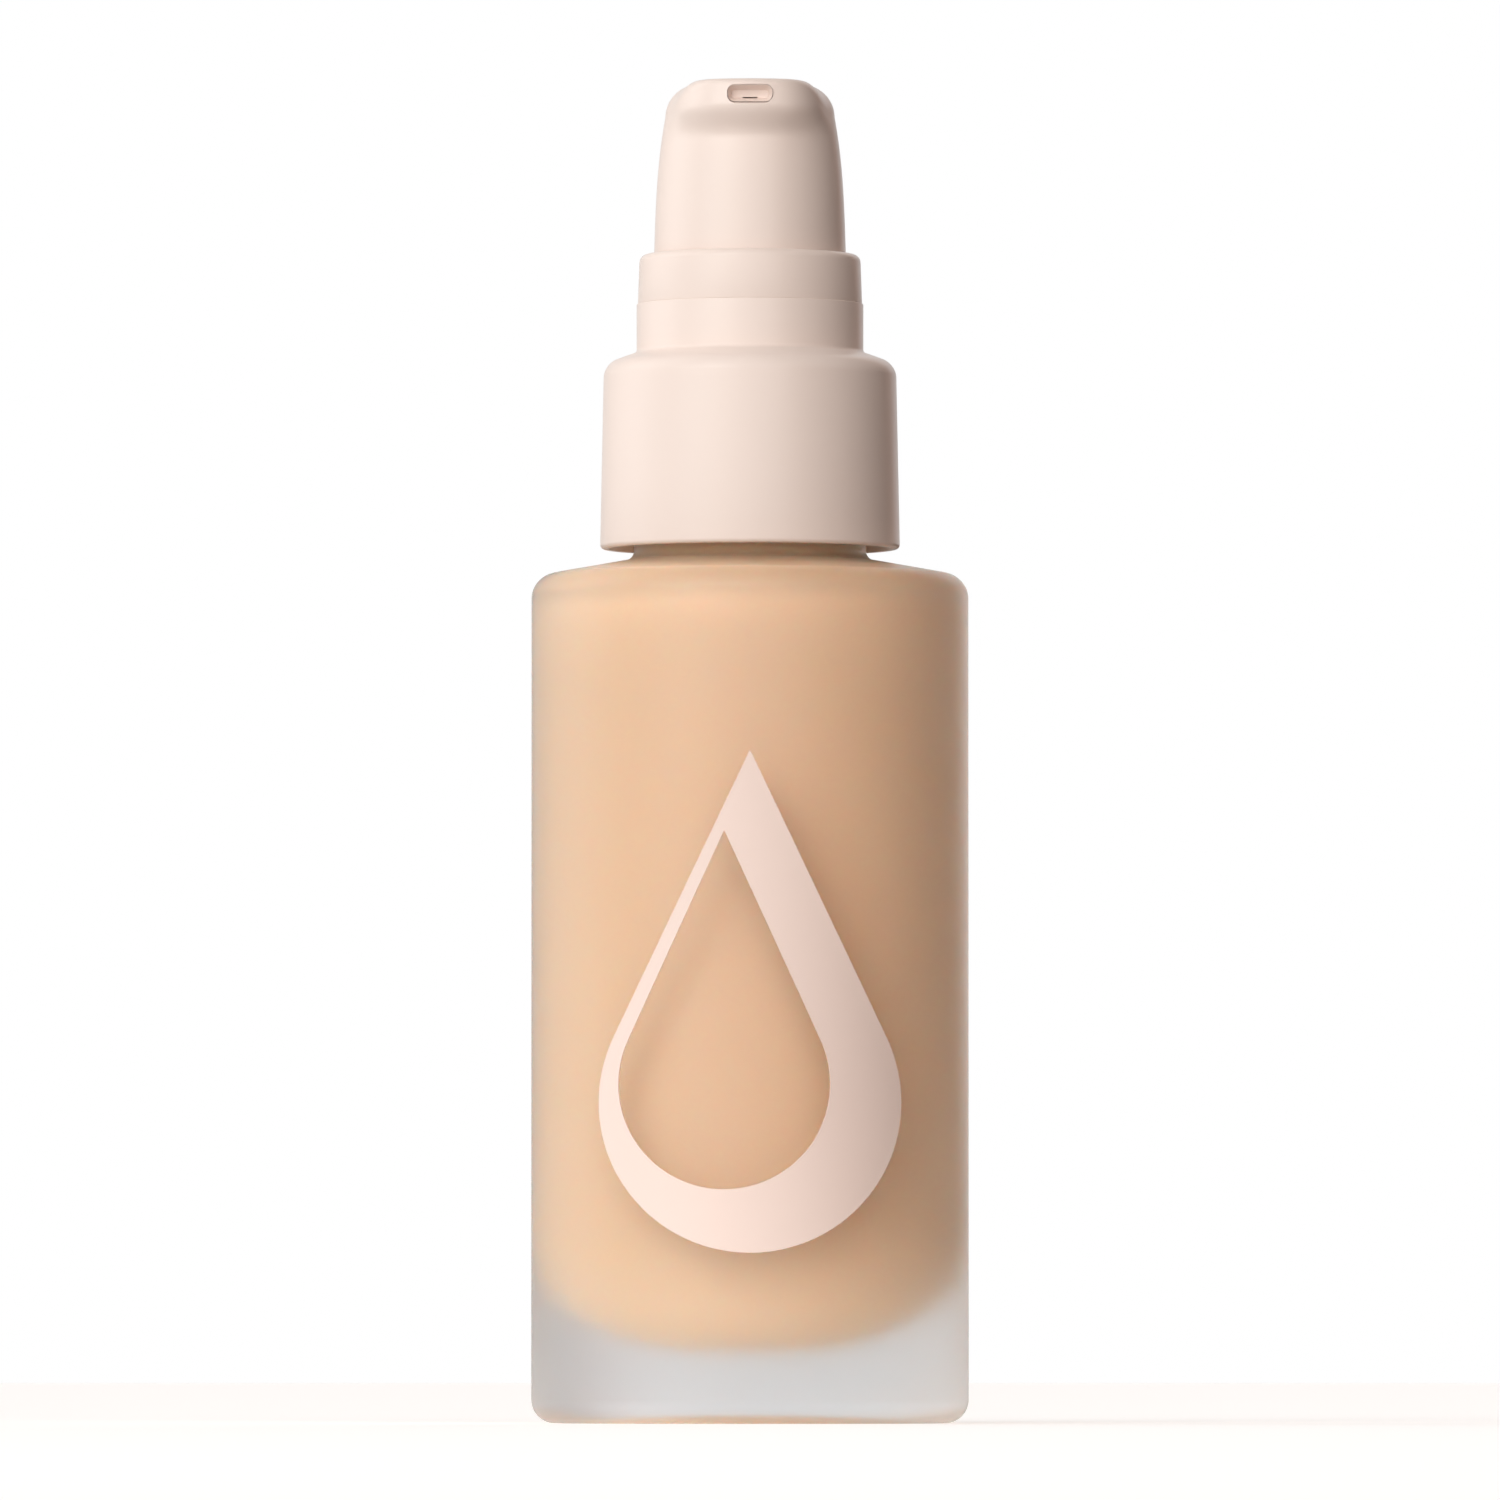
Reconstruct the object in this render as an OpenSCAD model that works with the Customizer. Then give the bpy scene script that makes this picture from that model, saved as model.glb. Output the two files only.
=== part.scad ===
// A foundation bottle: heavy-base glass with a screw-on treatment pump.
// Millimetres, +Z up, origin at the centre of the base, nozzle towards -Y.

/* [Glass bottle] */
// Outer diameter of the bottle
bottle_d = 35.2; // [30:0.2:43]
// Height at which the straight side would meet the shoulder's slope
side_h = 68.1; // [56:0.1:84]
// Rise of the shoulder towards the neck, in degrees
shoulder_slope = 10.2; // [6:0.2:16]
// Radius of the edge between side and shoulder
shoulder_round = 2; // [1:0.1:3]
// Radius of the edge at the foot
base_round = 1.9; // [0.8:0.1:3]
// Thickness of the side wall
glass_wall = 4.7; // [3.5:0.1:5.5]
// Thickness of the heavy base at its middle
base_thick = 6; // [4:0.2:9]
// Radius between the floor and the side of the cavity
cavity_round = 11; // [6:0.5:11.5]
// Radius between the side of the cavity and its shoulder
cavity_top_round = 2.5; // [1.5:0.5:3.5]
// Thickness of the glass above the cavity's shoulder
shoulder_wall = 2; // [1.6:0.1:5]
// Depth of the hollow under the base
punt_depth = 0.35; // [0.2:0.05:0.6]
// Width of the flat ring that the bottle stands on
foot_ring_w = 3.2; // [2:0.1:5]
// Level of the foundation above the foot of the neck
fill_rise = 3.3; // [0.5:0.1:7]

/* [Neck finish] */
// Height of the neck above the shoulder
neck_h = 12.6; // [11.6:0.1:16]
// Diameter at the root of the neck's thread
neck_root_d = 17.7; // [17:0.1:21.4]
// Diameter of the hole down the neck
neck_bore_d = 12.8; // [12.2:0.1:13.6]
// Radius of the fillet between neck and shoulder
neck_fillet = 0.8; // [0.4:0.1:1.2]
// Height of the thicker root of the neck, under the thread
neck_bead_h = 1.35; // [0.8:0.05:1.5]
// Step in radius from that root in to the neck
neck_bead_step = 0.5; // [0.2:0.05:0.8]
// Rise of the thread in one turn
thread_pitch = 3.175; // [2.8:0.025:3.4]
// Turns of thread on the neck
thread_turns = 1.5; // [1:0.05:1.6]
// Height of the thread's ridge above its root
thread_depth = 0.95; // [0.7:0.05:1.1]
// Play between the thread's crests and the roots that they turn in
thread_gap = 0.2; // [0.15:0.05:0.3]

/* [Printed emblem] */
// Radius of the round end of the drop
drop_r = 12; // [8:0.5:13]
// Height of the drop's tip above the centre of its round end
drop_tip = 28; // [18:0.5:32]
// Height of that centre above the foot
drop_z = 25.6; // [20:0.1:32]
// Thickness of the raised ink
ink_t = 0.1; // [0.08:0.01:0.2]

/* [Collar] */
// Wall of the collar's skirt at its upper edge
collar_wall = 0.88; // [0.7:0.02:1.1]
// Widening of the collar's radius from its upper edge to its lower edge
collar_draft = 0.3; // [0:0.05:0.4]
// Wall of the collar at its lower edge
collar_foot_wall = 0.75; // [0.72:0.01:0.9]
// Gap between the collar's lower edge and the glass shoulder
collar_gap = 1.3; // [0.6:0.05:1.6]
// Radius of the collar's upper edge
collar_round = 1.5; // [1:0.1:1.8]
// Fall of the collar's roof towards its edge, in degrees
roof_slope = 20; // [12:1:24]
// Thickness of the collar's roof beside its turret
roof_t = 1.3; // [1:0.1:1.6]
// Wall of the collar's turret, which an overcap pushes onto
turret_wall = 0.56; // [0.4:0.02:0.8]
// Height of the turret above the collar's roof
turret_h = 3.9; // [3:0.1:6]
// Thickness of the screw closure's wall and top
closure_wall = 0.9; // [0.8:0.05:1]

/* [Guide ring] */
// Step in radius from the turret in to the guide ring
ring_step = 0.1; // [0:0.02:0.2]
// Narrowing of the guide ring's radius towards its top
ring_draft = 0.14; // [0:0.02:0.2]
// Height of the guide ring above the turret
ring_h = 4; // [3:0.1:6]
// Radius of the guide ring's upper edge
ring_round = 0.65; // [0.3:0.05:0.7]
// Thickness of the guide ring's sleeve inside the turret
sleeve_wall = 0.65; // [0.5:0.05:0.7]
// Play between the guide ring and the actuator
actuator_gap = 0.2; // [0.1:0.05:0.3]

/* [Actuator] */
// Diameter of the actuator where it enters the guide ring
head_d = 15.46; // [12.8:0.02:16]
// Height of the actuator above the guide ring
head_h = 13.7; // [11:0.1:17]
// Narrowing of the actuator's radius from the guide ring to its top edge
head_draft = 0.9; // [0.5:0.05:1.1]
// Radius of the actuator's top edge
head_round = 2.6; // [2:0.1:3.2]
// How far the spout stands out in front of the actuator's side
spout_reach = 1.8; // [1.2:0.1:2]
// Height of the spout, down to where its hollow underside ends
spout_h = 4.6; // [4:0.1:6]
// Radius of the spout's top edge
spout_round = 0.6; // [0.5:0.1:1]
// Wall of the actuator's shell
head_wall = 0.85; // [0.7:0.05:1]
// Thickness of the actuator's top
head_top_t = 0.7; // [0.6:0.05:0.9]
// Width of the nozzle's slot
nozzle_w = 3.7; // [3:0.1:4.2]
// Height of the nozzle's slot
nozzle_h = 1.45; // [1.1:0.05:1.6]
// Depth of the nozzle insert's face behind the spout's face
nozzle_recess = 0.35; // [0.2:0.05:0.6]

/* [Pump] */
// Travel of the actuator
stroke = 5; // [3.5:0.1:6]
// Travel of the stem before it takes the piston with it
lost_motion = 0.8; // [0.5:0.05:1]
// Thickness of the neck gasket
gasket_t = 0.8; // [0.6:0.05:1.2]
// Thickness of the housing's flange
flange_t = 0.9; // [0.8:0.05:1.2]
// Diameter of the housing
housing_d = 10; // [9.6:0.1:12.2]
// Wall of the housing
housing_wall = 0.8; // [0.6:0.05:0.9]
// Diameter of the stem
stem_d = 4; // [3.4:0.1:4.8]
// Diameter of the passage up the stem
stem_bore_d = 2.4; // [2:0.1:2.6]
// Length of the piston's inner sleeve
piston_len = 3.5; // [3:0.1:5]
// Diameter of the spring's wire
wire_d = 0.55; // [0.4:0.05:0.6]
// Turns of the return spring
spring_turns = 7; // [5:1:8]
// Diameter of the inlet ball
ball_d = 3; // [2.6:0.1:3.2]
// Travel of the inlet ball off its seat
ball_lift = 0.9; // [0.5:0.1:1.2]
// Outer diameter of the dip tube
tube_d = 3.2; // [2.8:0.1:3.4]
// Inner diameter of the dip tube
tube_bore_d = 2.2; // [1.6:0.1:2.2]
// Gap between the dip tube's end and the cavity's floor
tube_gap = 1.5; // [0.8:0.1:4]

/* [Hidden] */
$fn = 96;
CLEAR = [0.86, 0.87, 0.87, 0.45];
SKIN = [0.93, 0.87, 0.83];
INNER = [0.95, 0.94, 0.91];
LIQUID = [0.87, 0.69, 0.54];
STEEL = [0.72, 0.73, 0.75];

// Fits between pieces
turn_gap = 0.08;    // pieces that turn against each other, face to face
running_gap = 0.06; // round pieces that slide or turn in a bore
seat_gap = 0.05;    // pieces that close onto each other
liquid_gap = 0.08;  // around what stands in the foundation
bury = 0.3;         // how deep a ridge's root lies in its wall
arc_steps = 10;     // points on each rounded edge
drop_steps = 40;     // points on the emblem's round end
small = 0.01;

// Bottle
bottle_r = bottle_d / 2;
cavity_r = bottle_r - glass_wall;
floor_round = min(cavity_round, cavity_r - 1);
neck_r = neck_root_d / 2;
neck_bore_r = neck_bore_d / 2;
neck_foot_z = side_h + (bottle_r - neck_r) * tan(shoulder_slope);
lip_z = neck_foot_z + neck_h;
fill_z = neck_foot_z + fill_rise;
cavity_slope = 14;
cavity_turn_r = cavity_r - cavity_top_round;
cavity_top_z = neck_foot_z - (cavity_turn_r - neck_r) * tan(shoulder_slope)
    - shoulder_wall / cos(shoulder_slope);
neck_bead_r = neck_r + neck_bead_step;
neck_bead_z = neck_foot_z + neck_bead_h;
lip_round = 0.5;

// Thread, shared by neck and closure
ridge_root_w = 1.4;
ridge_crest_w = 0.5;
ridge_steps = 30;    // sections in one turn
ridge_fade = 5;      // sections over which a ridge runs out
thread_r = neck_r + thread_depth;
closure_bore_r = thread_r + thread_gap;
closure_crest_r = neck_r + thread_gap;
thread_top_z = lip_z - 2;
thread_low_z = thread_top_z - thread_pitch * thread_turns;

// Closure, collar and guide ring
flange_z = lip_z + gasket_t;
housing_top_z = flange_z + flange_t;
closure_top_z = housing_top_z + turn_gap + closure_wall;
closure_r = closure_bore_r + closure_wall;
closure_chamfer = 1.1;
closure_foot_z = neck_foot_z + 1.6;
collar_top_r = closure_r + collar_wall;
collar_r = collar_top_r + collar_draft;
collar_foot_z = side_h + (bottle_r - collar_r) * tan(shoulder_slope) + collar_gap;
collar_foot_round = 0.35;
head_r = head_d / 2;
sleeve_bore_r = head_r + actuator_gap;
sleeve_r = sleeve_bore_r + sleeve_wall;
turret_r = sleeve_r + turret_wall;
roof_z = closure_top_z + roof_t;
roof_edge_z = roof_z - (collar_top_r - turret_r) * tan(roof_slope);
roof_fillet = 0.3;
turret_top_z = roof_z + turret_h;
ring_top_z = turret_top_z + ring_h;
ring_r = turret_r - ring_step;
ring_top_r = ring_r - ring_draft;
closure_hole_r = housing_d / 2 + 1.5;

// Housing cap and stem guide
stem_r = stem_d / 2;
cap_boss_h = 1.6;
cap_boss_r = stem_r + 1.6;
cap_top_z = closure_top_z + cap_boss_h;
wiper_h = 0.9;
wiper_r = stem_r + 0.9;

// Actuator
head_top_z = ring_top_z + head_h;
head_foot_z = closure_top_z + stroke + 2;
head_edge_z = head_top_z - head_round;
head_edge_r = head_r - head_draft;
core_foot_z = cap_top_z + stroke + 0.4;
socket_depth = 5.5;
stem_top_z = core_foot_z + socket_depth;
core_r = stem_r + 1.2;
core_plate_r = head_edge_r - 1.73;
core_plate_t = 2.9;
head_sides = 64;
spout_core = 18;     // half-angle over which the spout keeps its full reach
spout_fade = 72;     // half-angle at which the spout has run out
spout_climb = 2.6;   // height over which the spout's underside comes forward
nozzle_roof = 0.5;
nozzle_z = head_top_z - nozzle_roof - nozzle_h / 2;
nozzle_round = nozzle_h * 0.45;
nozzle_back_t = 2.1; // insert behind its recess
nozzle_fit = 0.04;

// Pump works, from the housing's mouth downwards
bore_r = housing_d / 2 - housing_wall;
stem_bore_r = stem_bore_d / 2;
piston_sleeve_r = stem_r + 0.7;
cap_ceiling_z = housing_top_z - 2.2;
cap_plug_len = 4.3;
cap_plug_bore_r = piston_sleeve_r + 0.35;
shoulder_r = stem_r + 0.55;
shoulder_t = 0.6;
shoulder_z = cap_ceiling_z - seat_gap - shoulder_t;
piston_top_z = shoulder_z - lost_motion - seat_gap;
piston_foot_z = piston_top_z - piston_len;
rod_flange_r = stem_r + 1.2;
rod_flange_t = 0.7;
rod_top_z = piston_foot_z - seat_gap;
spring_top_z = rod_top_z - rod_flange_t;
spring_len = stroke + (spring_turns + 1) * wire_d + 1.6;
spring_foot_z = spring_top_z - spring_len;
spring_r = 2.6;
spring_sides = 8;
spring_steps = 24;   // sections in one turn
pilot_r = spring_r - wire_d / 2 - 0.3;
pilot_len = 1.8;
seat_t = 0.7;
bore_floor_z = spring_foot_z - seat_t;
ball_r = ball_d / 2;
ball_hole_r = 1;
ball_room_r = ball_r + 0.35;
ball_seat_z = bore_floor_z - seat_gap - ball_lift - ball_r - sqrt(ball_r ^ 2 - ball_hole_r ^ 2);
ball_z = ball_seat_z + sqrt(ball_r ^ 2 - ball_hole_r ^ 2) + 0.02;
tube_r = tube_d / 2;
tube_top_z = ball_seat_z - 0.7;
socket_len = 4.5;
socket_r = tube_r + 0.9;
tube_foot_z = base_thick + tube_gap;

// Points on an arc about [cx, cz], from angle a to angle b
function arc(cx, cz, r, a, b, steps = arc_steps) =
    [for (i = [0:steps]) let (t = a + (b - a) * i / steps) [cx + r * cos(t), cz + r * sin(t)]];

// Faces of a body that runs through rings of points, closed at both ends
function loft_faces(rings, sides) = concat(
    [[for (j = [0:sides - 1]) j]],
    [for (i = [0:rings - 2], j = [0:sides - 1])
        let (a = i * sides + j, b = i * sides + (j + 1) % sides)
        each [[a, a + sides, b + sides], [a, b + sides, b]]],
    [[for (j = [sides - 1:-1:0]) (rings - 1) * sides + j]]);

// 0 below a, 1 above b, and a smooth climb between them
function ease(a, b, x) = let (t = min(1, max(0, (x - a) / (b - a)))) t * t * (3 - 2 * t);

// A ring from z0 to z1
module tube(r_out, r_in, z0, z1) {
    difference() {
        translate([0, 0, z0]) cylinder(r = r_out, h = z1 - z0);
        translate([0, 0, z0 - 1]) cylinder(r = r_in, h = z1 - z0 + 2);
    }
}

// A ridge that climbs from z0 round a helix and runs out at both ends
module helix_ridge(root_r, crest_r, z0, turns) {
    steps = ceil(turns * ridge_steps);
    flip = crest_r > root_r ? -1 : 1;
    points = [for (i = [0:steps])
        let (a = 360 * turns * i / steps, z = z0 + thread_pitch * turns * i / steps,
            full = min(1, i / ridge_fade, (steps - i) / ridge_fade),
            crest = root_r + (crest_r - root_r) * (0.15 + 0.85 * full))
        for (p = [[root_r, -ridge_root_w / 2], [crest, -ridge_crest_w / 2],
                [crest, ridge_crest_w / 2], [root_r, ridge_root_w / 2]])
            [p[0] * cos(a), p[0] * sin(a), z + flip * p[1]]];
    polyhedron(points, loft_faces(steps + 1, 4));
}

// Outline of the cavity up to a level that lies in the neck, as radius and height
function cavity_outline(top_z) = let (
    turn_z = cavity_top_z - cavity_top_round,
    high = arc(cavity_turn_r, turn_z, cavity_top_round, 0, 90 - cavity_slope),
    last = high[arc_steps],
    throat_z = last[1] + (last[0] - neck_bore_r) * tan(cavity_slope))
    concat([[0, base_thick]],
        arc(cavity_r - floor_round, base_thick + floor_round, floor_round, -90, 0),
        high, [[neck_bore_r, throat_z], [neck_bore_r, top_z], [0, top_z]]);

module glass_bottle() {
    corner_turn = 90 - shoulder_slope;
    corner_len = shoulder_round * tan(corner_turn / 2);
    fillet_r = neck_bead_r + neck_fillet;
    fillet_z = neck_foot_z - neck_bead_step * tan(shoulder_slope)
        + neck_fillet * tan(corner_turn / 2);
    bead_round = min(neck_bead_step, 0.4);
    color(CLEAR) {
        difference() {
            rotate_extrude()
                polygon(concat(
                    [[0, punt_depth], [bottle_r - base_round - foot_ring_w - 1, punt_depth],
                        [bottle_r - base_round - foot_ring_w, 0]],
                    arc(bottle_r - base_round, base_round, base_round, -90, 0),
                    arc(bottle_r - shoulder_round, side_h - corner_len, shoulder_round,
                        0, corner_turn),
                    arc(fillet_r, fillet_z, neck_fillet, 270 - shoulder_slope, 180),
                    arc(neck_bead_r - bead_round, neck_bead_z - bead_round, bead_round, 0, 90),
                    [[neck_r, neck_bead_z]],
                    arc(neck_r - lip_round, lip_z - lip_round, lip_round, 0, 90),
                    [[0, lip_z]]));
            rotate_extrude() polygon(cavity_outline(lip_z + 1));
        }
        helix_ridge(neck_r - bury, thread_r, thread_low_z, thread_turns);
    }
}

module foundation_fill() {
    color(LIQUID) difference() {
        rotate_extrude() polygon(cavity_outline(fill_z));
        pump_room();
    }
}

// The room that the housing and the dip tube take up in the foundation
module pump_room() {
    translate([0, 0, socket_foot_z() - liquid_gap])
        cylinder(r = socket_r + liquid_gap, h = lip_z - socket_foot_z());
    translate([0, 0, taper_foot_z() - liquid_gap])
        cylinder(r1 = socket_r + liquid_gap, r2 = housing_d / 2 + liquid_gap,
            h = taper_top_z() - taper_foot_z());
    translate([0, 0, taper_top_z() - liquid_gap - small])
        cylinder(r = housing_d / 2 + liquid_gap, h = lip_z - taper_top_z());
    translate([0, 0, tube_foot_z - liquid_gap])
        cylinder(r = tube_r + liquid_gap, h = lip_z - tube_foot_z);
}

// A drop whose round end has its centre at [0, 0]
module drop(r, tip) {
    lean = acos(r / tip);
    polygon(concat([[0, tip]], arc(0, 0, r, 90 + lean, 450 - lean, drop_steps)));
}

module printed_emblem() {
    color(SKIN) intersection() {
        tube(bottle_r + ink_t, bottle_r, drop_z - drop_r - 1, drop_z + drop_tip + 1);
        translate([0, 0, drop_z]) rotate([90, 0, 0]) linear_extrude(bottle_r + 1)
            difference() {
                drop(drop_r, drop_tip);
                translate([-drop_r * 0.17, drop_r * 0.12]) drop(drop_r * 0.7, drop_tip * 0.72);
            }
    }
}

module screw_closure() {
    color(INNER) {
        rotate_extrude()
            polygon([[closure_bore_r, closure_foot_z], [closure_r, closure_foot_z],
                [closure_r, closure_top_z - closure_chamfer],
                [closure_r - closure_chamfer, closure_top_z], [closure_hole_r, closure_top_z],
                [closure_hole_r, closure_top_z - closure_wall],
                [closure_bore_r, closure_top_z - closure_wall]]);
        helix_ridge(closure_bore_r + bury, closure_crest_r, thread_low_z - thread_pitch / 2,
            thread_turns);
    }
}

module outer_collar() {
    corner_turn = 90 - roof_slope;
    corner_len = collar_round * tan(corner_turn / 2);
    color(SKIN) rotate_extrude()
        polygon(concat(
            [[collar_r - collar_foot_wall, collar_foot_z]],
            arc(collar_r - collar_foot_round, collar_foot_z + collar_foot_round,
                collar_foot_round, -90, 0),
            arc(collar_top_r - collar_round, roof_edge_z - corner_len, collar_round,
                0, corner_turn),
            arc(turret_r + roof_fillet, roof_z + roof_fillet * 0.7, roof_fillet,
                270 - roof_slope, 180),
            [[turret_r, turret_top_z], [sleeve_r, turret_top_z], [sleeve_r, closure_top_z],
                [closure_r - closure_chamfer, closure_top_z],
                [closure_r, closure_top_z - closure_chamfer], [closure_r, closure_foot_z]]));
}

module guide_ring() {
    color(SKIN) rotate_extrude()
        polygon(concat(
            [[sleeve_bore_r, closure_top_z], [sleeve_r, closure_top_z],
                [sleeve_r, turret_top_z], [ring_r, turret_top_z]],
            arc(ring_top_r - ring_round, ring_top_z - ring_round, ring_round, 0, 90),
            [[sleeve_bore_r + 0.15, ring_top_z], [sleeve_bore_r, ring_top_z - 0.15]]));
}

module neck_gasket() {
    color(INNER) tube(neck_r - 0.35, housing_d / 2, lip_z, flange_z);
}

function socket_foot_z() = tube_top_z - socket_len;
function taper_foot_z() = ball_seat_z - 0.7;
function taper_top_z() = bore_floor_z;

module pump_housing() {
    color(INNER) difference() {
        rotate_extrude()
            polygon([[0, socket_foot_z()], [socket_r, socket_foot_z()],
                [socket_r, taper_foot_z()], [housing_d / 2, taper_top_z()],
                [housing_d / 2, flange_z], [neck_r - 0.45, flange_z],
                [neck_r - 0.45, housing_top_z], [0, housing_top_z]]);
        translate([0, 0, bore_floor_z]) cylinder(r = bore_r, h = housing_top_z);
        translate([0, 0, ball_seat_z]) cylinder(r = ball_room_r, h = bore_floor_z);
        translate([0, 0, tube_top_z - small]) cylinder(r = ball_hole_r, h = bore_floor_z);
        translate([0, 0, socket_foot_z() - 1]) cylinder(r = tube_r, h = socket_len + 1);
        vent_holes();
    }
}

// Air enters the bottle through two small holes high in the housing
module vent_holes() {
    for (turn = [0, 180])
        rotate([0, 0, turn]) translate([0, 0, flange_z - 1.6]) rotate([0, 90, 0])
            cylinder(r = 0.35, h = housing_d);
}

module housing_cap() {
    plug_foot_z = housing_top_z - cap_plug_len;
    color(INNER) rotate_extrude()
        polygon([[cap_plug_bore_r, plug_foot_z], [bore_r - 0.25, plug_foot_z],
            [bore_r, plug_foot_z + 0.6], [bore_r, housing_top_z],
            [closure_hole_r - 0.2, housing_top_z], [closure_hole_r - 0.2, closure_top_z],
            [cap_boss_r, closure_top_z], [cap_boss_r, cap_top_z], [wiper_r, cap_top_z],
            [wiper_r, cap_top_z - wiper_h], [stem_r + running_gap, cap_top_z - wiper_h],
            [stem_r + running_gap, cap_ceiling_z], [cap_plug_bore_r, cap_ceiling_z]]);
}

module stem_wiper() {
    lip = stem_r + 0.02;
    color(INNER) rotate_extrude()
        polygon([[lip + 0.3, cap_top_z - wiper_h], [wiper_r, cap_top_z - wiper_h],
            [wiper_r, cap_top_z - 0.1], [lip + 0.35, cap_top_z - 0.1],
            [lip, cap_top_z - 0.35], [lip, cap_top_z - 0.5]]);
}

module dip_tube() {
    bevel = 35;
    color(CLEAR) difference() {
        tube(tube_r, tube_bore_d / 2, tube_foot_z, tube_top_z);
        translate([-tube_r, 0, tube_foot_z]) rotate([0, -bevel, 0])
            translate([-tube_d, -tube_d, -tube_d * 2]) cube([tube_d * 3, tube_d * 2, tube_d * 2]);
    }
}

module inlet_ball() {
    color(STEEL) translate([0, 0, ball_z]) sphere(r = ball_r);
}

module spring_seat() {
    color(INNER) difference() {
        union() {
            translate([0, 0, bore_floor_z]) cylinder(r = bore_r, h = seat_t);
            translate([0, 0, bore_floor_z]) cylinder(r = pilot_r, h = seat_t + pilot_len);
        }
        for (turn = [0:120:240])
            rotate([0, 0, turn]) translate([pilot_r * 0.6, 0, bore_floor_z - 1])
                cylinder(r = 0.45, h = seat_t + pilot_len + 2);
    }
}

module return_spring() {
    steps = spring_turns * spring_steps;
    wire_r = wire_d / 2;
    climb = spring_len - wire_d - 2 * small;
    points = [for (i = [0:steps])
        let (a = 360 * spring_turns * i / steps, z = spring_foot_z + small + wire_r + climb * i / steps)
        for (j = [0:spring_sides - 1])
            let (b = 360 * j / spring_sides, r = spring_r + wire_r * cos(b))
            [r * cos(a), r * sin(a), z - wire_r * sin(b)]];
    color(STEEL) polyhedron(points, loft_faces(steps + 1, spring_sides));
}

module piston_rod() {
    color(INNER) difference() {
        union() {
            translate([0, 0, spring_top_z]) cylinder(r = rod_flange_r, h = rod_flange_t);
            translate([0, 0, spring_top_z - pilot_len]) cylinder(r = pilot_r, h = pilot_len + small);
            translate([0, 0, rod_top_z - small]) cylinder(r = stem_bore_r, h = 6);
        }
        for (turn = [0:90:270])
            rotate([0, 0, turn]) translate([stem_bore_r, 0, rod_top_z])
                cylinder(r = 0.55, h = 7);
    }
}

module piston() {
    lip_r = bore_r - seat_gap;
    waist_r = bore_r - 0.35;
    foot_z = piston_foot_z + 0.25;
    top_z = piston_top_z - 0.8;
    middle_z = (foot_z + top_z) / 2;
    color(INNER) rotate_extrude()
        polygon([[stem_r + running_gap, piston_foot_z], [piston_sleeve_r, piston_foot_z],
            [piston_sleeve_r, middle_z - 0.35], [waist_r - 0.45, middle_z - 0.35],
            [lip_r - 0.3, foot_z], [lip_r, foot_z], [waist_r, middle_z], [lip_r, top_z],
            [lip_r - 0.3, top_z], [waist_r - 0.45, middle_z + 0.35],
            [piston_sleeve_r, middle_z + 0.35], [piston_sleeve_r, piston_top_z],
            [stem_r + running_gap, piston_top_z]]);
}

module stem() {
    stem_foot_z = rod_top_z + 1;
    color(INNER) difference() {
        union() {
            translate([0, 0, stem_foot_z]) cylinder(r = stem_r, h = stem_top_z - stem_foot_z);
            translate([0, 0, shoulder_z]) cylinder(r = shoulder_r, h = shoulder_t);
        }
        translate([0, 0, stem_foot_z - 1])
            cylinder(r = stem_bore_r, h = stem_top_z - stem_foot_z + 2);
    }
}

// The slot's outline, as wide and high as the nozzle and larger by grow all round
module slot(grow) {
    r = nozzle_round + grow;
    w = nozzle_w / 2 + grow;
    h = nozzle_h / 2 + grow;
    square([2 * w, 2 * (h - r)], center = true);
    square([2 * (w - r), 2 * h], center = true);
    for (x = [-1, 1], y = [-1, 1]) translate([x * (w - r), y * (h - r)]) circle(r = r, $fn = 32);
}

// A bar of the slot's outline that runs forward from y0 to y1
module slot_bar(grow, y0, y1) {
    translate([0, -y0, nozzle_z]) rotate([90, 0, 0]) linear_extrude(y1 - y0) slot(grow);
}

function spout_face() = head_edge_r + spout_reach;

module actuator_core() {
    ceiling_z = head_top_z - head_top_t;
    color(INNER) difference() {
        union() {
            translate([0, 0, core_foot_z]) cylinder(r = core_r, h = ceiling_z - core_foot_z);
            translate([0, 0, ceiling_z - core_plate_t])
                cylinder(r = core_plate_r, h = core_plate_t);
        }
        translate([0, 0, core_foot_z - 1])
            cylinder(r = stem_r + running_gap / 2, h = socket_depth + 1 + seat_gap);
        translate([0, 0, core_foot_z])
            cylinder(r = stem_bore_r, h = ceiling_z - 0.9 - core_foot_z);
        translate([0, 0, ceiling_z - 1.4]) rotate([90, 0, 0])
            cylinder(r = 0.6, h = core_plate_r + 1);
    }
}

// Share of the spout's reach at an angle from straight ahead
function spout_share(a) = 1 - ease(spout_core, spout_fade, abs(a));

// Radius of the actuator's plain side at a height: it narrows faster towards the top
function head_side(z) = let (t = max(0, (z - ring_top_z) / (head_edge_z - ring_top_z)))
    head_r - head_draft * t * (0.35 + 0.65 * t * t);

// The actuator's outer surface at an angle: points from its foot to the middle of its top
function head_outline(a) = let (
    share = spout_share(a),
    edge = head_round + (spout_round - head_round) * share,
    reach = share * spout_reach,
    wall_top = head_top_z - edge,
    levels = [0, 0.14, 0.35, 0.52, 0.62, 0.69, 0.75, 0.8, 0.85, 0.9, 0.95, 1])
    concat(
        [for (u = levels)
            let (z = head_foot_z + u * (wall_top - head_foot_z))
            [head_side(z) + reach * ease(head_top_z - spout_h, head_top_z - spout_h + spout_climb, z), z]],
        [for (i = [1:6]) let (t = 15 * i)
            [head_side(wall_top) + reach - edge + edge * cos(t), wall_top + edge * sin(t)]]);

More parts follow.
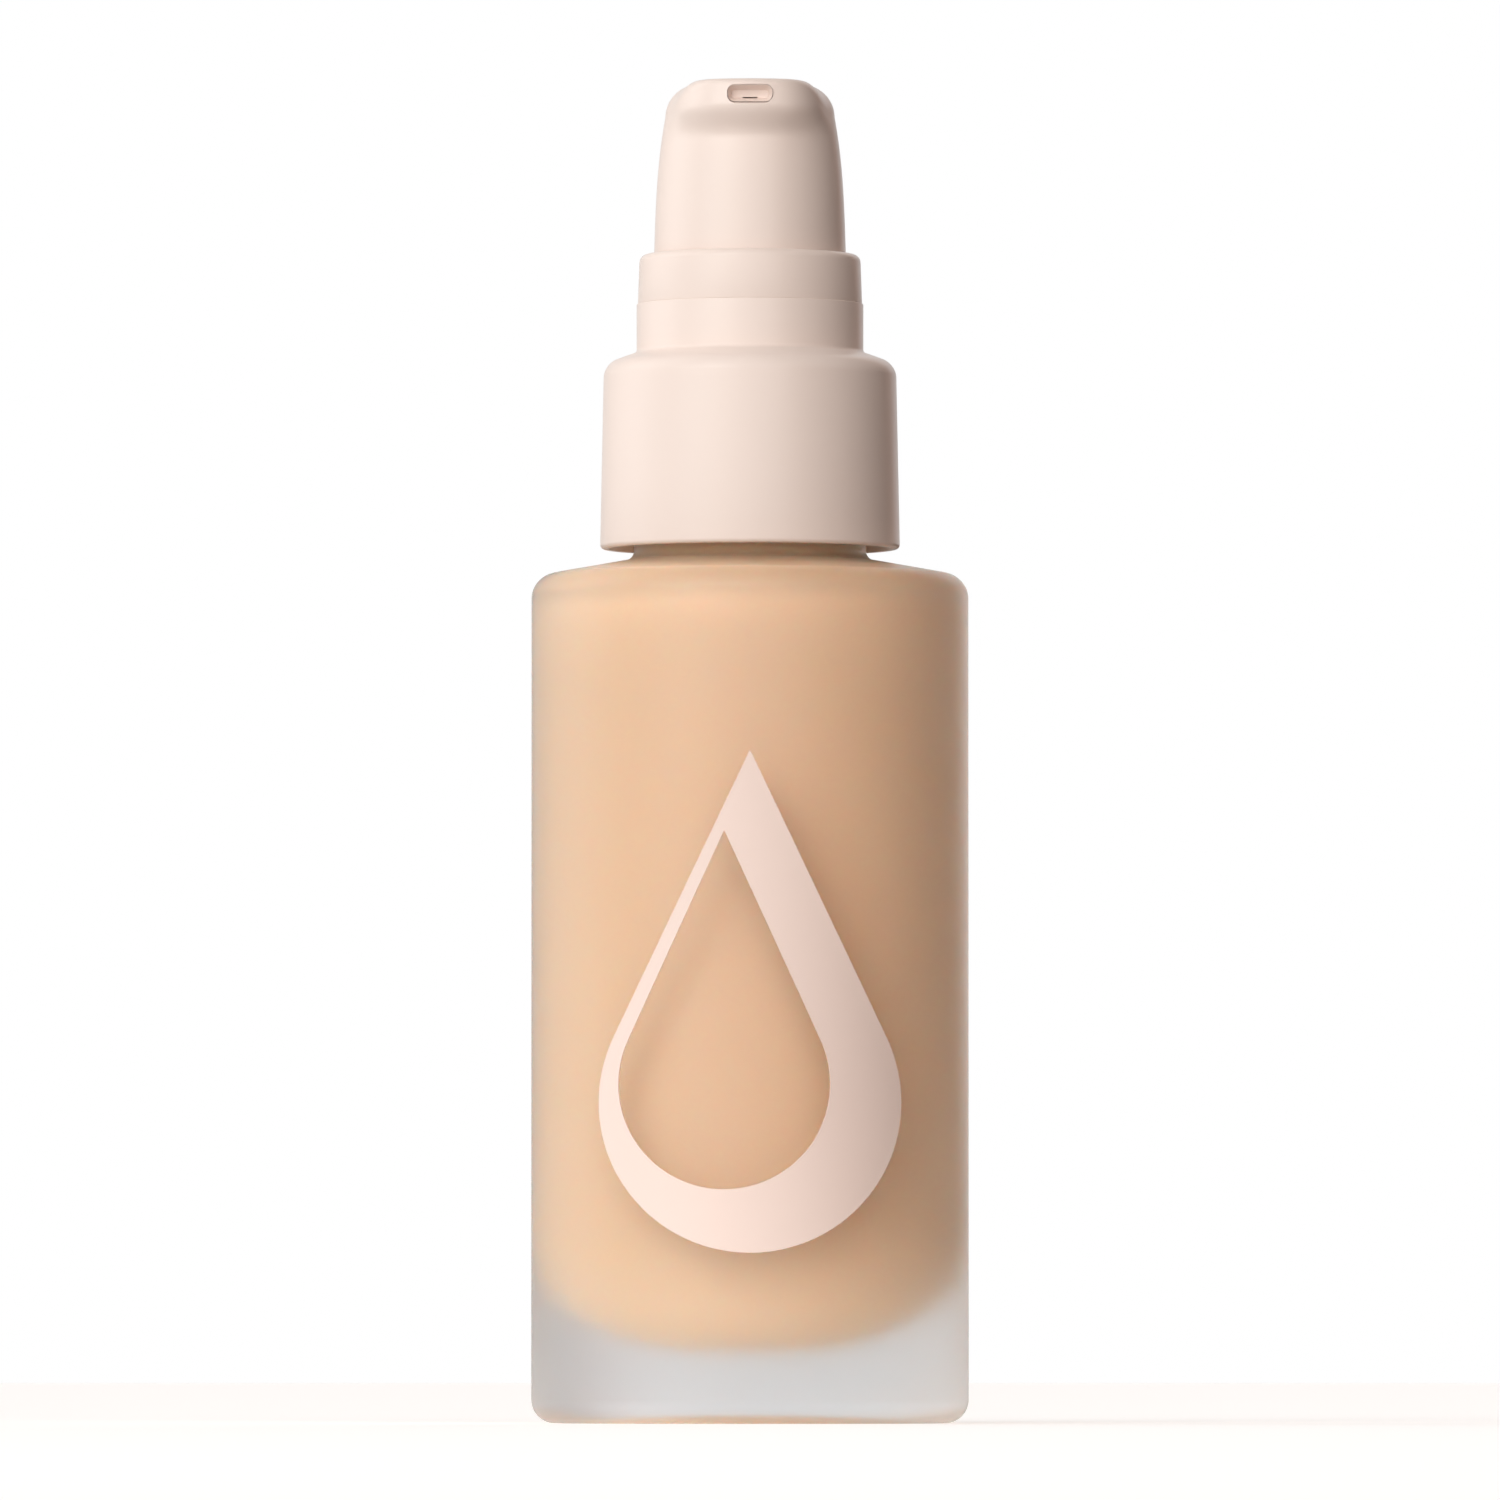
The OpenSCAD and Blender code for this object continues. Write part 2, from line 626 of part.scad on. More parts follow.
module actuator_shell() {
    outline = head_outline(0);
    rings = len(outline);
    step = 360 / head_sides;
    outlines = [for (j = [0:head_sides - 1]) head_outline(j * step > 180 ? j * step - 360 : j * step)];
    points = [for (i = [0:rings - 1], j = [0:head_sides - 1])
        let (a = -90 + j * step, p = outlines[j][i]) [p[0] * cos(a), p[0] * sin(a), p[1]]];
    ceiling_z = head_top_z - head_top_t;
    color(SKIN) difference() {
        polyhedron(points, loft_faces(rings, head_sides));
        rotate_extrude()
            polygon([[0, head_foot_z - 1], [head_r - head_wall, head_foot_z - 1],
                [head_r - head_wall, ring_top_z],
                [core_plate_r, ceiling_z - core_plate_t], [core_plate_r, ceiling_z],
                [0, ceiling_z]]);
        slot_bar(0, core_plate_r - 0.5, spout_face() + 2);
    }
}

// The orifice in the back of the nozzle's recess, low down where the core's passage ends
module nozzle_orifice() {
    w = 1.2;
    h = 0.32;
    translate([-w / 2, -core_plate_r - nozzle_back_t - 0.1, nozzle_z - nozzle_h / 2 + 0.15])
        cube([w, nozzle_back_t + 0.2, h]);
}

module nozzle_insert() {
    color(SKIN) difference() {
        slot_bar(-nozzle_fit, core_plate_r + seat_gap, spout_face() - nozzle_recess);
        slot_bar(-0.2, spout_face() - nozzle_recess - 0.8, spout_face() + 1);
        slot_bar(-0.4, core_plate_r + nozzle_back_t, spout_face() + 1);
        nozzle_orifice();
    }
}

glass_bottle();
foundation_fill();
printed_emblem();
screw_closure();
outer_collar();
guide_ring();
neck_gasket();
pump_housing();
housing_cap();
stem_wiper();
dip_tube();
inlet_ball();
spring_seat();
return_spring();
piston_rod();
piston();
stem();
actuator_core();
actuator_shell();
nozzle_insert();
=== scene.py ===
"""Looks of a foundation bottle with a treatment pump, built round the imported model.

Every length is in metres unless a name ends in _mm. The bottle stands on the floor at
the origin and its nozzle and emblem face -Y.
"""

import logging
import math
from dataclasses import dataclass, field
from enum import Enum

import bmesh
import bpy
from bmesh.types import BMEdge, BMesh, BMVert
from bpy.types import Material, Node, NodeTree, Object
from mathutils import Matrix, Vector


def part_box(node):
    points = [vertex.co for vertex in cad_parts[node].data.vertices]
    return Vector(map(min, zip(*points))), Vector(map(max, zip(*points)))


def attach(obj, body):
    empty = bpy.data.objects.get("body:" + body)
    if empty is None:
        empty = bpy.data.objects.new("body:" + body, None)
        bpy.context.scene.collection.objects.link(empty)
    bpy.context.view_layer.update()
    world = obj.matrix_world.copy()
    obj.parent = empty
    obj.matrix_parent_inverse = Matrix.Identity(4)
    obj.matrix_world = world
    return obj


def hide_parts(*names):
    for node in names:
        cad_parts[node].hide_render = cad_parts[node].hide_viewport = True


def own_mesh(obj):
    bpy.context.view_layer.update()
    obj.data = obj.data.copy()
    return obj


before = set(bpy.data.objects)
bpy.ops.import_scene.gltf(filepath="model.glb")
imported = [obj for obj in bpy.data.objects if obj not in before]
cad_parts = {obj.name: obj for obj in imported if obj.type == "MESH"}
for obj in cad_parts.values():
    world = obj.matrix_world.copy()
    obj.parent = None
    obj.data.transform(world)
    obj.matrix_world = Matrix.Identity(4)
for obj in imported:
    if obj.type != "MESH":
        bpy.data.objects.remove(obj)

log = logging.getLogger("foundation_bottle")

MM = 0.001
UP = Vector((0.0, 0.0, 1.0))
ROUND_SIDES = 160


# ------------ shapes


@dataclass(frozen=True)
class Corner:
    """One corner of a turned outline, in millimetres.

    Args:
        r_mm: Distance from the axis.
        z_mm: Height above the floor.
        round_mm: Radius that the corner is rounded to.
        steps: Faces along that rounding.
    """

    r_mm: float
    z_mm: float
    round_mm: float = 0.0
    steps: int = 8


def rounding_length(before: Vector, corner: Vector, after: Vector, radius: float) -> float:
    """How far from a corner its rounding starts.

    Args:
        before: The outline's previous point.
        corner: The corner itself.
        after: The outline's next point.
        radius: Radius of the rounding.

    Returns:
        The distance along each side, in metres.
    """
    turn = (corner - before).angle(after - corner)
    return radius * math.tan(turn / 2.0)


def draw_outline(bm: BMesh, corners: list[Corner], closed: bool) -> None:
    """Draws an outline in the plane of the axis and rounds its corners.

    Args:
        bm: The mesh to draw in.
        corners: The outline's corners, in order.
        closed: Whether the last corner joins the first.
    """
    points = [Vector((c.r_mm * MM, 0.0, c.z_mm * MM)) for c in corners]
    verts = [bm.verts.new(p) for p in points]
    for a, b in zip(verts, verts[1:]):
        bm.edges.new((a, b))
    if closed:
        bm.edges.new((verts[-1], verts[0]))
    for i, corner in enumerate(corners):
        if corner.round_mm:
            before, after = points[i - 1], points[(i + 1) % len(points)]
            bmesh.ops.bevel(
                bm,
                geom=[verts[i]],
                offset=rounding_length(before, points[i], after, corner.round_mm * MM),
                offset_type="OFFSET",
                segments=corner.steps,
                profile=0.5,
                affect="VERTICES",
                clamp_overlap=False,
                material=-1,
            )


def turned(corners: list[Corner], closed: bool = True, sides: int = ROUND_SIDES) -> BMesh:
    """Turns an outline about the bottle's axis.

    Args:
        corners: The outline's corners. An open outline starts and ends on the axis.
        closed: Whether the outline is a ring that stays off the axis.
        sides: Faces round the axis.

    Returns:
        A closed mesh whose faces point outwards.
    """
    bm = bmesh.new()
    draw_outline(bm, corners, closed)
    bmesh.ops.spin(
        bm,
        geom=bm.verts[:] + bm.edges[:],
        cent=(0.0, 0.0, 0.0),
        axis=UP,
        angle=math.tau,
        steps=sides,
        use_merge=True,
        use_duplicate=False,
    )
    bmesh.ops.remove_doubles(bm, verts=bm.verts[:], dist=0.001 * MM)
    bmesh.ops.recalc_face_normals(bm, faces=bm.faces[:])
    return bm


def wind(bm: BMesh, climb_mm: float, turns: float, steps: int) -> None:
    """Sweeps a mesh round the bottle's axis while it climbs.

    Args:
        bm: The mesh, which becomes the swept one.
        climb_mm: How far it climbs in all.
        turns: How often it goes round.
        steps: Steps of the whole sweep.
    """
    bmesh.ops.spin(
        bm,
        geom=bm.verts[:] + bm.edges[:] + bm.faces[:],
        cent=(0.0, 0.0, 0.0),
        axis=UP,
        dvec=(0.0, 0.0, climb_mm * MM / steps),
        angle=math.tau * turns,
        steps=steps,
        use_merge=False,
        use_duplicate=False,
    )


def smooth_shaded(bm: BMesh, sharp_deg: float) -> None:
    """Shades a mesh smooth, and keeps its edges over an angle sharp.

    Args:
        bm: The mesh.
        sharp_deg: The least angle between two faces that stays a sharp edge.
    """
    limit = math.radians(sharp_deg)
    for face in bm.faces:
        face.smooth = True
    for edge in bm.edges:
        edge.smooth = len(edge.link_faces) == 2 and edge.calc_face_angle(0.0) < limit


def as_piece(name: str, bm: BMesh, materials: list[Material], sharp_deg: float = 32.0) -> Object:
    """Makes an object at the origin from a mesh that is already in its place.

    Args:
        name: The piece's name.
        bm: The mesh, which is freed.
        materials: The piece's materials, in the order of its faces' indices.
        sharp_deg: The least angle between two faces that stays a sharp edge.

    Returns:
        The object, linked to the scene.
    """
    smooth_shaded(bm, sharp_deg)
    mesh = bpy.data.meshes.new(name)
    bm.to_mesh(mesh)
    bm.free()
    for material in materials:
        mesh.materials.append(material)
    piece = bpy.data.objects.new(name, mesh)
    bpy.context.scene.collection.objects.link(piece)
    return piece


class Keep(Enum):
    """What a Boolean operation keeps of two meshes."""

    DIFFERENCE = "DIFFERENCE"
    UNION = "UNION"


def cut(body: BMesh, tool: BMesh, keep: Keep = Keep.DIFFERENCE) -> BMesh:
    """Cuts one closed mesh with another, or joins them.

    Args:
        body: The mesh that is cut. It is freed.
        tool: The mesh that cuts. It is freed.
        keep: What is kept of the two.
    Returns:
        The mesh that is left.
    """
    meshes = [bpy.data.meshes.new(n) for n in ("cut_body", "cut_tool")]
    body.to_mesh(meshes[0])
    tool.to_mesh(meshes[1])
    body.free()
    tool.free()
    objects = [bpy.data.objects.new(m.name, m) for m in meshes]
    for o in objects:
        bpy.context.scene.collection.objects.link(o)
    modifier = objects[0].modifiers.new("cut", "BOOLEAN")
    modifier.operation = keep.value
    modifier.solver = "EXACT"
    modifier.object = objects[1]
    graph = bpy.context.evaluated_depsgraph_get()
    result = bmesh.new()
    result.from_mesh(objects[0].evaluated_get(graph).to_mesh())
    for o in objects:
        bpy.data.objects.remove(o)
    for m in meshes:
        bpy.data.meshes.remove(m)
    return result


def ease(low: float, high: float, x: float) -> float:
    """A smooth climb from 0 at low to 1 at high.

    Args:
        low: Where the climb starts.
        high: Where it ends.
        x: The place to give it for.

    Returns:
        A share from 0 to 1.
    """
    t = min(1.0, max(0.0, (x - low) / (high - low)))
    return t * t * (3.0 - 2.0 * t)


def node_box_mm(node: str) -> tuple[Vector, Vector]:
    """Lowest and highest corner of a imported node, in millimetres."""
    low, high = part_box(node)
    return Vector(low) / MM, Vector(high) / MM


# ------------ shared node groups


NUMBER = "NodeSocketFloat"
FINE_DETAIL = 3.0
SLOW_DETAIL = 2.0
DRIFT_RANGE = (0.15, 0.85)


@dataclass
class Effect:
    """A shader node group under construction, whose sockets are all numbers.

    Args:
        name: The group's name.
    """

    name: str
    tree: NodeTree = field(init=False)
    start: Node = field(init=False)
    end: Node = field(init=False)

    def __post_init__(self) -> None:
        """Makes the empty group."""
        self.tree = bpy.data.node_groups.new(self.name, "ShaderNodeTree")
        self.start = self.tree.nodes.new("NodeGroupInput")
        self.end = self.tree.nodes.new("NodeGroupOutput")

    def input(self, name: str, value: float) -> None:
        """Adds an input called name, with its value where nothing is linked."""
        socket = self.tree.interface.new_socket(name, in_out="INPUT", socket_type=NUMBER)
        socket.default_value = value

    def output(self, name: str) -> None:
        """Adds an output called name."""
        self.tree.interface.new_socket(name, in_out="OUTPUT", socket_type=NUMBER)


def add_node(
    tree: NodeTree,
    kind: str,
    inputs: dict[str | int, object] | None = None,
    **settings: object,
) -> Node:
    """Adds a node to a tree.

    Args:
        tree: The tree.
        kind: The node's type, without its "ShaderNode" start.
        inputs: Values for its inputs, set once its own properties are.
        settings: Values for the node's own properties.

    Returns:
        The new node.
    """
    node = tree.nodes.new("ShaderNode" + kind)
    for key, value in settings.items():
        setattr(node, key, value)
    for key, value in (inputs or {}).items():
        node.inputs[key].default_value = value
    return node


def wire(tree: NodeTree, *links: tuple[Node, str, Node, str | int]) -> None:
    """Links outputs to inputs.

    Args:
        tree: The tree that holds the nodes.
        links: For each link a node and its output, then a node and its input.
    """
    for source, output, target, entry in links:
        tree.links.new(source.outputs[output], target.inputs[entry])


def smooth_span(
    tree: NodeTree, start: float, end: float, low: float = 0.0, high: float = 1.0
) -> Node:
    """Adds a node that turns one range smoothly into another.

    Args:
        tree: The tree.
        start: Where the change starts.
        end: Where it ends.
        low: What comes out up to the start.
        high: What comes out from the end on.

    Returns:
        The new node.
    """
    span = {"From Min": start, "From Max": end, "To Min": low, "To Max": high}
    return add_node(tree, "MapRange", span, interpolation_type="SMOOTHSTEP")


def grain_effect() -> NodeTree:
    """Fine moulded grain over a slow drift of tone.

    Returns:
        The group. Its Height feeds a Bump, its Tone mixes two colours, and its Rough is a roughness.
    """
    effect = Effect("fine_grain")
    effect.input("Grain per m", 9000.0)
    effect.input("Drift per m", 45.0)
    effect.input("Rough low", 0.3)
    effect.input("Rough high", 0.4)
    for name in ("Height", "Tone", "Rough"):
        effect.output(name)
    tree, start, end = effect.tree, effect.start, effect.end
    place = add_node(tree, "TexCoord")
    fine = add_node(tree, "TexNoise", {"Detail": FINE_DETAIL}, noise_dimensions="3D")
    slow = add_node(tree, "TexNoise", {"Detail": SLOW_DETAIL}, noise_dimensions="3D")
    least, most = DRIFT_RANGE
    span = {"From Min": least, "From Max": most}
    rough = add_node(tree, "MapRange", span, interpolation_type="SMOOTHERSTEP")
    wire(
        tree,
        (place, "Object", fine, "Vector"),
        (place, "Object", slow, "Vector"),
        (start, "Grain per m", fine, "Scale"),
        (start, "Drift per m", slow, "Scale"),
        (slow, "Fac", rough, "Value"),
        (start, "Rough low", rough, "To Min"),
        (start, "Rough high", rough, "To Max"),
        (fine, "Fac", end, "Height"),
        (slow, "Fac", end, "Tone"),
        (rough, "Result", end, "Rough"),
    )
    return tree


# ------------ finishes


@dataclass(frozen=True)
class Finish:
    """A surface with two close tones, a grain and a roughness that drifts.

    Args:
        name: The material's name.
        slot: The material slot's name. Not used.
        light: The lighter tone, linear.
        dark: The darker tone, linear.
        rough: Lowest and highest roughness.
        grain_per_m: Grains in a metre.
        grain_depth: Depth of the grain, in metres.
        drift_per_m: Waves of the slow tone in a metre.
        set_values: Values set on the shader's own sockets.
    """

    name: str
    slot: str
    light: tuple[float, float, float]
    dark: tuple[float, float, float]
    rough: tuple[float, float]
    grain_per_m: float = 9000.0
    grain_depth: float = 2e-6
    drift_per_m: float = 45.0
    set_values: tuple[tuple[str, object], ...] = ()

    def material(self, grain: NodeTree) -> Material:
        """Builds the material.

        Args:
            grain: The shared grain group.

        Returns:
            The material.
        """
        mat = bpy.data.materials.new(self.name)
        mat.use_nodes = True
        tree = mat.node_tree
        shader = tree.nodes["Principled BSDF"]
        scales = {
            "Grain per m": self.grain_per_m, "Drift per m": self.drift_per_m,
            "Rough low": self.rough[0], "Rough high": self.rough[1],
        }
        group = add_node(tree, "Group", scales, node_tree=grain)
        tone = add_node(tree, "Mix", {"A": (*self.dark, 1.0), "B": (*self.light, 1.0)}, data_type="RGBA")
        bump = add_node(tree, "Bump", {"Strength": 1.0, "Distance": self.grain_depth})
        wire(
            tree,
            (group, "Tone", tone, "Factor"),
            (tone, "Result", shader, "Base Color"),
            (group, "Rough", shader, "Roughness"),
            (group, "Height", bump, "Height"),
            (bump, "Normal", shader, "Normal"),
        )
        for socket, value in self.set_values:
            shader.inputs[socket].default_value = value
        return mat


@dataclass(frozen=True)
class Glass(Finish):
    """Glass that lamps shine through, so that what stands in it is lit."""

    def material(self, grain: NodeTree) -> Material:
        """Builds the glass.

        Args:
            grain: The shared grain group.

        Returns:
            The material.
        """
        mat = Finish.material(self, grain)
        tree = mat.node_tree
        path = add_node(tree, "LightPath")
        clear = add_node(tree, "BsdfTransparent", {"Color": (*self.light, 1.0)})
        mix = add_node(tree, "MixShader")
        wire(
            tree,
            (path, "Is Shadow Ray", mix, 0),
            (tree.nodes["Principled BSDF"], "BSDF", mix, 1),
            (clear, "BSDF", mix, 2),
            (mix, "Shader", tree.nodes["Material Output"], "Surface"),
        )
        return mat


SATIN_GLASS = Glass(
    "satin_glass", "frosted_glass", (0.985, 0.99, 0.99), (0.97, 0.98, 0.98), (0.33, 0.37),
    grain_per_m=14000.0, grain_depth=1e-6,
    set_values=(("Transmission Weight", 1.0), ("IOR", 1.5)),
)
POLISHED_GLASS = Glass(
    "polished_glass", "frosted_glass", (0.99, 0.99, 0.99), (0.98, 0.985, 0.985), (0.02, 0.05),
    grain_per_m=400.0, grain_depth=1e-6,
    set_values=(("Transmission Weight", 1.0), ("IOR", 1.5)),
)
FOUNDATION = Finish(
    "foundation_liquid", "foundation", (0.87, 0.62, 0.42), (0.85, 0.6, 0.405), (0.3, 0.36),
    grain_per_m=700.0, grain_depth=2e-6, drift_per_m=30.0,
    set_values=(
        ("IOR", 1.42), ("Specular IOR Level", 0.0), ("Subsurface Weight", 0.8),
        ("Subsurface Radius", (1.0, 0.5, 0.3)), ("Subsurface Scale", 0.0012),
    ),
)
PALE_INK = Finish(
    "pale_ink", "pale_ink", (0.90, 0.735, 0.665), (0.885, 0.715, 0.645), (0.42, 0.5),
    grain_per_m=12000.0, grain_depth=3e-6,
)
BLUSH_PLASTIC = Finish(
    "blush_plastic", "blush_plastic", (0.89, 0.765, 0.70), (0.875, 0.75, 0.685), (0.26, 0.32),
    grain_per_m=7000.0, grain_depth=1e-6,
    set_values=(("IOR", 1.49),),
)
NATURAL_PLASTIC = Finish(
    "natural_plastic", "natural_plastic", (0.86, 0.85, 0.82), (0.82, 0.81, 0.78), (0.38, 0.46),
)
CLEAR_TUBE = Finish(
    "clear_tube", "clear_tube", (0.88, 0.89, 0.89), (0.84, 0.85, 0.85), (0.2, 0.3),
    set_values=(("Transmission Weight", 0.6), ("IOR", 1.5)),
)
GASKET_FOAM = Finish(
    "gasket_foam", "gasket", (0.88, 0.88, 0.86), (0.76, 0.76, 0.74), (0.75, 0.9),
    grain_per_m=3500.0, grain_depth=3e-5,
)
BALL_STEEL = Finish(
    "ball_steel", "ball_steel", (0.74, 0.74, 0.75), (0.68, 0.68, 0.69), (0.08, 0.14),
    grain_per_m=2500.0, grain_depth=5e-7, set_values=(("Metallic", 1.0),),
)
SPRING_STEEL = Finish(
    "spring_steel", "spring_steel", (0.66, 0.66, 0.67), (0.56, 0.56, 0.57), (0.24, 0.34),
    grain_per_m=5000.0, grain_depth=3e-6, set_values=(("Metallic", 1.0),),
)


@dataclass
class Workshop:
    """Holds the shared grain and hands out each finish's material once."""

    grain: NodeTree = field(default_factory=grain_effect)
    made: dict[str, Material] = field(default_factory=dict)

    def material(self, finish: Finish) -> Material:
        """The material of a finish, made the first time it is asked for.

        Args:
            finish: The finish.

        Returns:
            Its one material.
        """
        if finish.name not in self.made:
            self.made[finish.name] = finish.material(self.grain)
        return self.made[finish.name]

    def dress_node(self, node: str, finish: Finish) -> None:
        """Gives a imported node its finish.

        Args:
            node: The node's name.
            finish: The finish that it gets.
        """
        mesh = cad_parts[node].data
        mesh.materials.clear()
        mesh.materials.append(self.material(finish))
        log.info("%s keeps its packed shape, in %s", node, finish.name)

    def add(
        self, name: str, bm: BMesh, body: str, node: str, *finishes: Finish, sharp_deg: float = 32.0
    ) -> Object:
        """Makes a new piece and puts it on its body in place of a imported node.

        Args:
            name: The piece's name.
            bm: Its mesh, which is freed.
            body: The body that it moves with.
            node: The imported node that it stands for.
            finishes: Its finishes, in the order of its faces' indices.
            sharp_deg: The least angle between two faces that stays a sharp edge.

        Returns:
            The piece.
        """
        piece = as_piece(name, bm, [self.material(finish) for finish in finishes], sharp_deg)
        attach(piece, body)
        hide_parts(node)
        log.info("%s: %d faces, on %s", piece.name, len(piece.data.polygons), body)
        return piece


# ------------ sub-assemblies


@dataclass
class Bottle:
    """The glass, the foundation in it and the print on it.

    Args:
        shop: Where the materials come from.
    """

    shop: Workshop
    wall_mm: float = 4.7
    base_mm: float = 6.0
    punt_mm: float = 0.35
    foot_round_mm: float = 1.9
    foot_ring_mm: float = 3.2
    shoulder_round_mm: float = 2.0
    shoulder_deg: float = 10.2
    side_mm: float = 68.1
    neck_r_mm: float = 8.85
    neck_bore_mm: float = 6.4
    floor_round_mm: float = 11.0
    cavity_top_round_mm: float = 2.5
    cavity_slope_deg: float = 14.0
    throat_round_mm: float = 0.8
    shoulder_wall_mm: float = 2.0
    bead_step_mm: float = 0.5
    bead_h_mm: float = 1.35
    bead_round_mm: float = 0.4
    neck_root_round_mm: float = 0.8
    punt_round_mm: float = 1.0
    ring_round_mm: float = 0.8
    lip_out_round_mm: float = 0.5
    lip_in_round_mm: float = 0.3
    polish_spare_mm: float = 0.05
    bore_spare_mm: float = 0.4
    polish_stop_mm: float = 0.9
    thread_pitch_mm: float = 3.175
    thread_turns: float = 1.5
    thread_depth_mm: float = 0.95
    thread_bury_mm: float = 0.3
    thread_drop_mm: float = 2.0
    thread_root_mm: float = 0.7
    thread_crest_mm: float = 0.25
    thread_round_mm: float = 0.2
    thread_run_out: float = 9.0
    thread_end_share: float = 0.15
    thread_steps: int = 96
    contact_mm: float = 0.03
    pump_gap_mm: float = 0.08
    housing_r_mm: float = 5.0
    socket_wall_mm: float = 0.9
    drop_r_mm: float = 12.0
    drop_tip_mm: float = 28.0
    drop_z_mm: float = 25.6
    drop_sides: int = 144
    drop_cuts: int = 9
    hole_r_share: float = 0.7
    hole_tip_share: float = 0.72
    hole_shift_shares: tuple[float, float] = (-0.17, 0.12)

    def __post_init__(self) -> None:
        """Reads the sizes that the frame holds."""
        self.r_mm = node_box_mm("glass_bottle")[1].x
        self.lip_mm = node_box_mm("glass_bottle")[1].z
        self.level_mm = node_box_mm("foundation_fill")[1].z
        self.cavity_mm = self.r_mm - self.wall_mm
        self.neck_foot_mm = self.side_mm + (self.r_mm - self.neck_r_mm) * math.tan(
            math.radians(self.shoulder_deg)
        )

    def cavity(self, grow_mm: float, top_mm: float) -> list[Corner]:
        """The cavity's outline from the middle of its floor up to a level in the neck.

        Args:
            grow_mm: How far the outline lies outside the glass's own.
            top_mm: The level where it ends.

        Returns:
            The outline's corners.
        """
        side, bore = self.cavity_mm + grow_mm, self.neck_bore_mm + grow_mm
        round_mm = self.cavity_top_round_mm
        lean, fall = math.radians(self.cavity_slope_deg), math.radians(self.shoulder_deg)
        over = self.cavity_mm - round_mm - self.neck_r_mm
        roof = self.neck_foot_mm - over * math.tan(fall) - self.shoulder_wall_mm / math.cos(fall)
        side_top = roof - round_mm * (1.0 - math.tan(math.pi / 4 - lean / 2))
        throat = side_top + (side - bore) * math.tan(lean)
        return [
            Corner(0.0, self.base_mm - grow_mm),
            Corner(side, self.base_mm - grow_mm, self.floor_round_mm, 20),
            Corner(side, side_top, round_mm, 10),
            Corner(bore, throat, self.throat_round_mm, 6),
            Corner(bore, top_mm),
        ]

    def thread(self) -> BMesh:
        """Winds the neck's thread as a ridge that runs out at both ends.

        Returns:
            A closed mesh whose root is buried in the neck.
        """
        root = self.neck_r_mm - self.thread_bury_mm
        crest = self.neck_r_mm + self.thread_depth_mm
        climb = self.thread_pitch_mm * self.thread_turns
        start = self.lip_mm - self.thread_drop_mm - climb
        outline = [
            Corner(root, start - self.thread_root_mm),
            Corner(crest, start - self.thread_crest_mm, self.thread_round_mm, 3),
            Corner(crest, start + self.thread_crest_mm, self.thread_round_mm, 3),
            Corner(root, start + self.thread_root_mm),
        ]
        bm = bmesh.new()
        draw_outline(bm, outline, closed=True)
        bmesh.ops.contextual_create(bm, geom=bm.edges[:])
        wind(bm, climb, self.thread_turns, self.thread_steps)
        least, laps = self.thread_end_share, range(math.ceil(self.thread_turns))
        for vert in bm.verts:
            turn = math.atan2(vert.co.y, vert.co.x) % math.tau
            shares = [(turn + lap * math.tau) / math.tau / self.thread_turns for lap in laps]
            share = min(shares, key=lambda u: abs(vert.co.z / MM - start - climb * u))
            full = min(1.0, min(share, 1.0 - share) * self.thread_run_out)
            r = vert.co.xy.length
            grown = root * MM + (r - root * MM) * (least + (1.0 - least) * max(0.0, full))
            vert.co.xy = vert.co.xy * (grown / r)
        bmesh.ops.recalc_face_normals(bm, faces=bm.faces[:])
        return bm

    def glass(self) -> None:
        """Turns the glass and frosts its outside."""
        foot = self.r_mm - self.foot_round_mm - self.foot_ring_mm
        bead_r = self.neck_r_mm + self.bead_step_mm
        shoulder_end = self.neck_foot_mm - self.bead_step_mm * math.tan(math.radians(self.shoulder_deg))
        bead_top = self.neck_foot_mm + self.bead_h_mm
        outside = [
            Corner(0.0, self.punt_mm),
            Corner(foot - self.punt_round_mm, self.punt_mm, self.punt_round_mm, 4),
            Corner(foot, 0.0, self.ring_round_mm, 4),
            Corner(self.r_mm, 0.0, self.foot_round_mm, 12),
            Corner(self.r_mm, self.side_mm, self.shoulder_round_mm, 14),
            Corner(bead_r, shoulder_end, self.neck_root_round_mm, 8),
            Corner(bead_r, bead_top, self.bead_round_mm, 6),
            Corner(self.neck_r_mm, bead_top),
            Corner(self.neck_r_mm, self.lip_mm, self.lip_out_round_mm, 5),
        ]
        inside = self.cavity(0.0, self.lip_mm)
        inside[-1] = Corner(self.neck_bore_mm, self.lip_mm, self.lip_in_round_mm, 4)
        bm = cut(turned(outside + inside[::-1], closed=False), self.thread(), Keep.UNION)
        for face in bm.faces:
            centre = face.calc_center_median()
            r = centre.xy.length
            within = r < (self.cavity_mm + self.polish_spare_mm) * MM
            above = centre.z > (self.base_mm - self.polish_spare_mm) * MM
            narrow = r < (self.neck_bore_mm + self.bore_spare_mm) * MM
            in_body = centre.z < (self.side_mm - self.polish_stop_mm) * MM
            face.material_index = int(within and above and (in_body or narrow))
        self.shop.add("glass_body", bm, "bottle", "glass_bottle", SATIN_GLASS, POLISHED_GLASS)

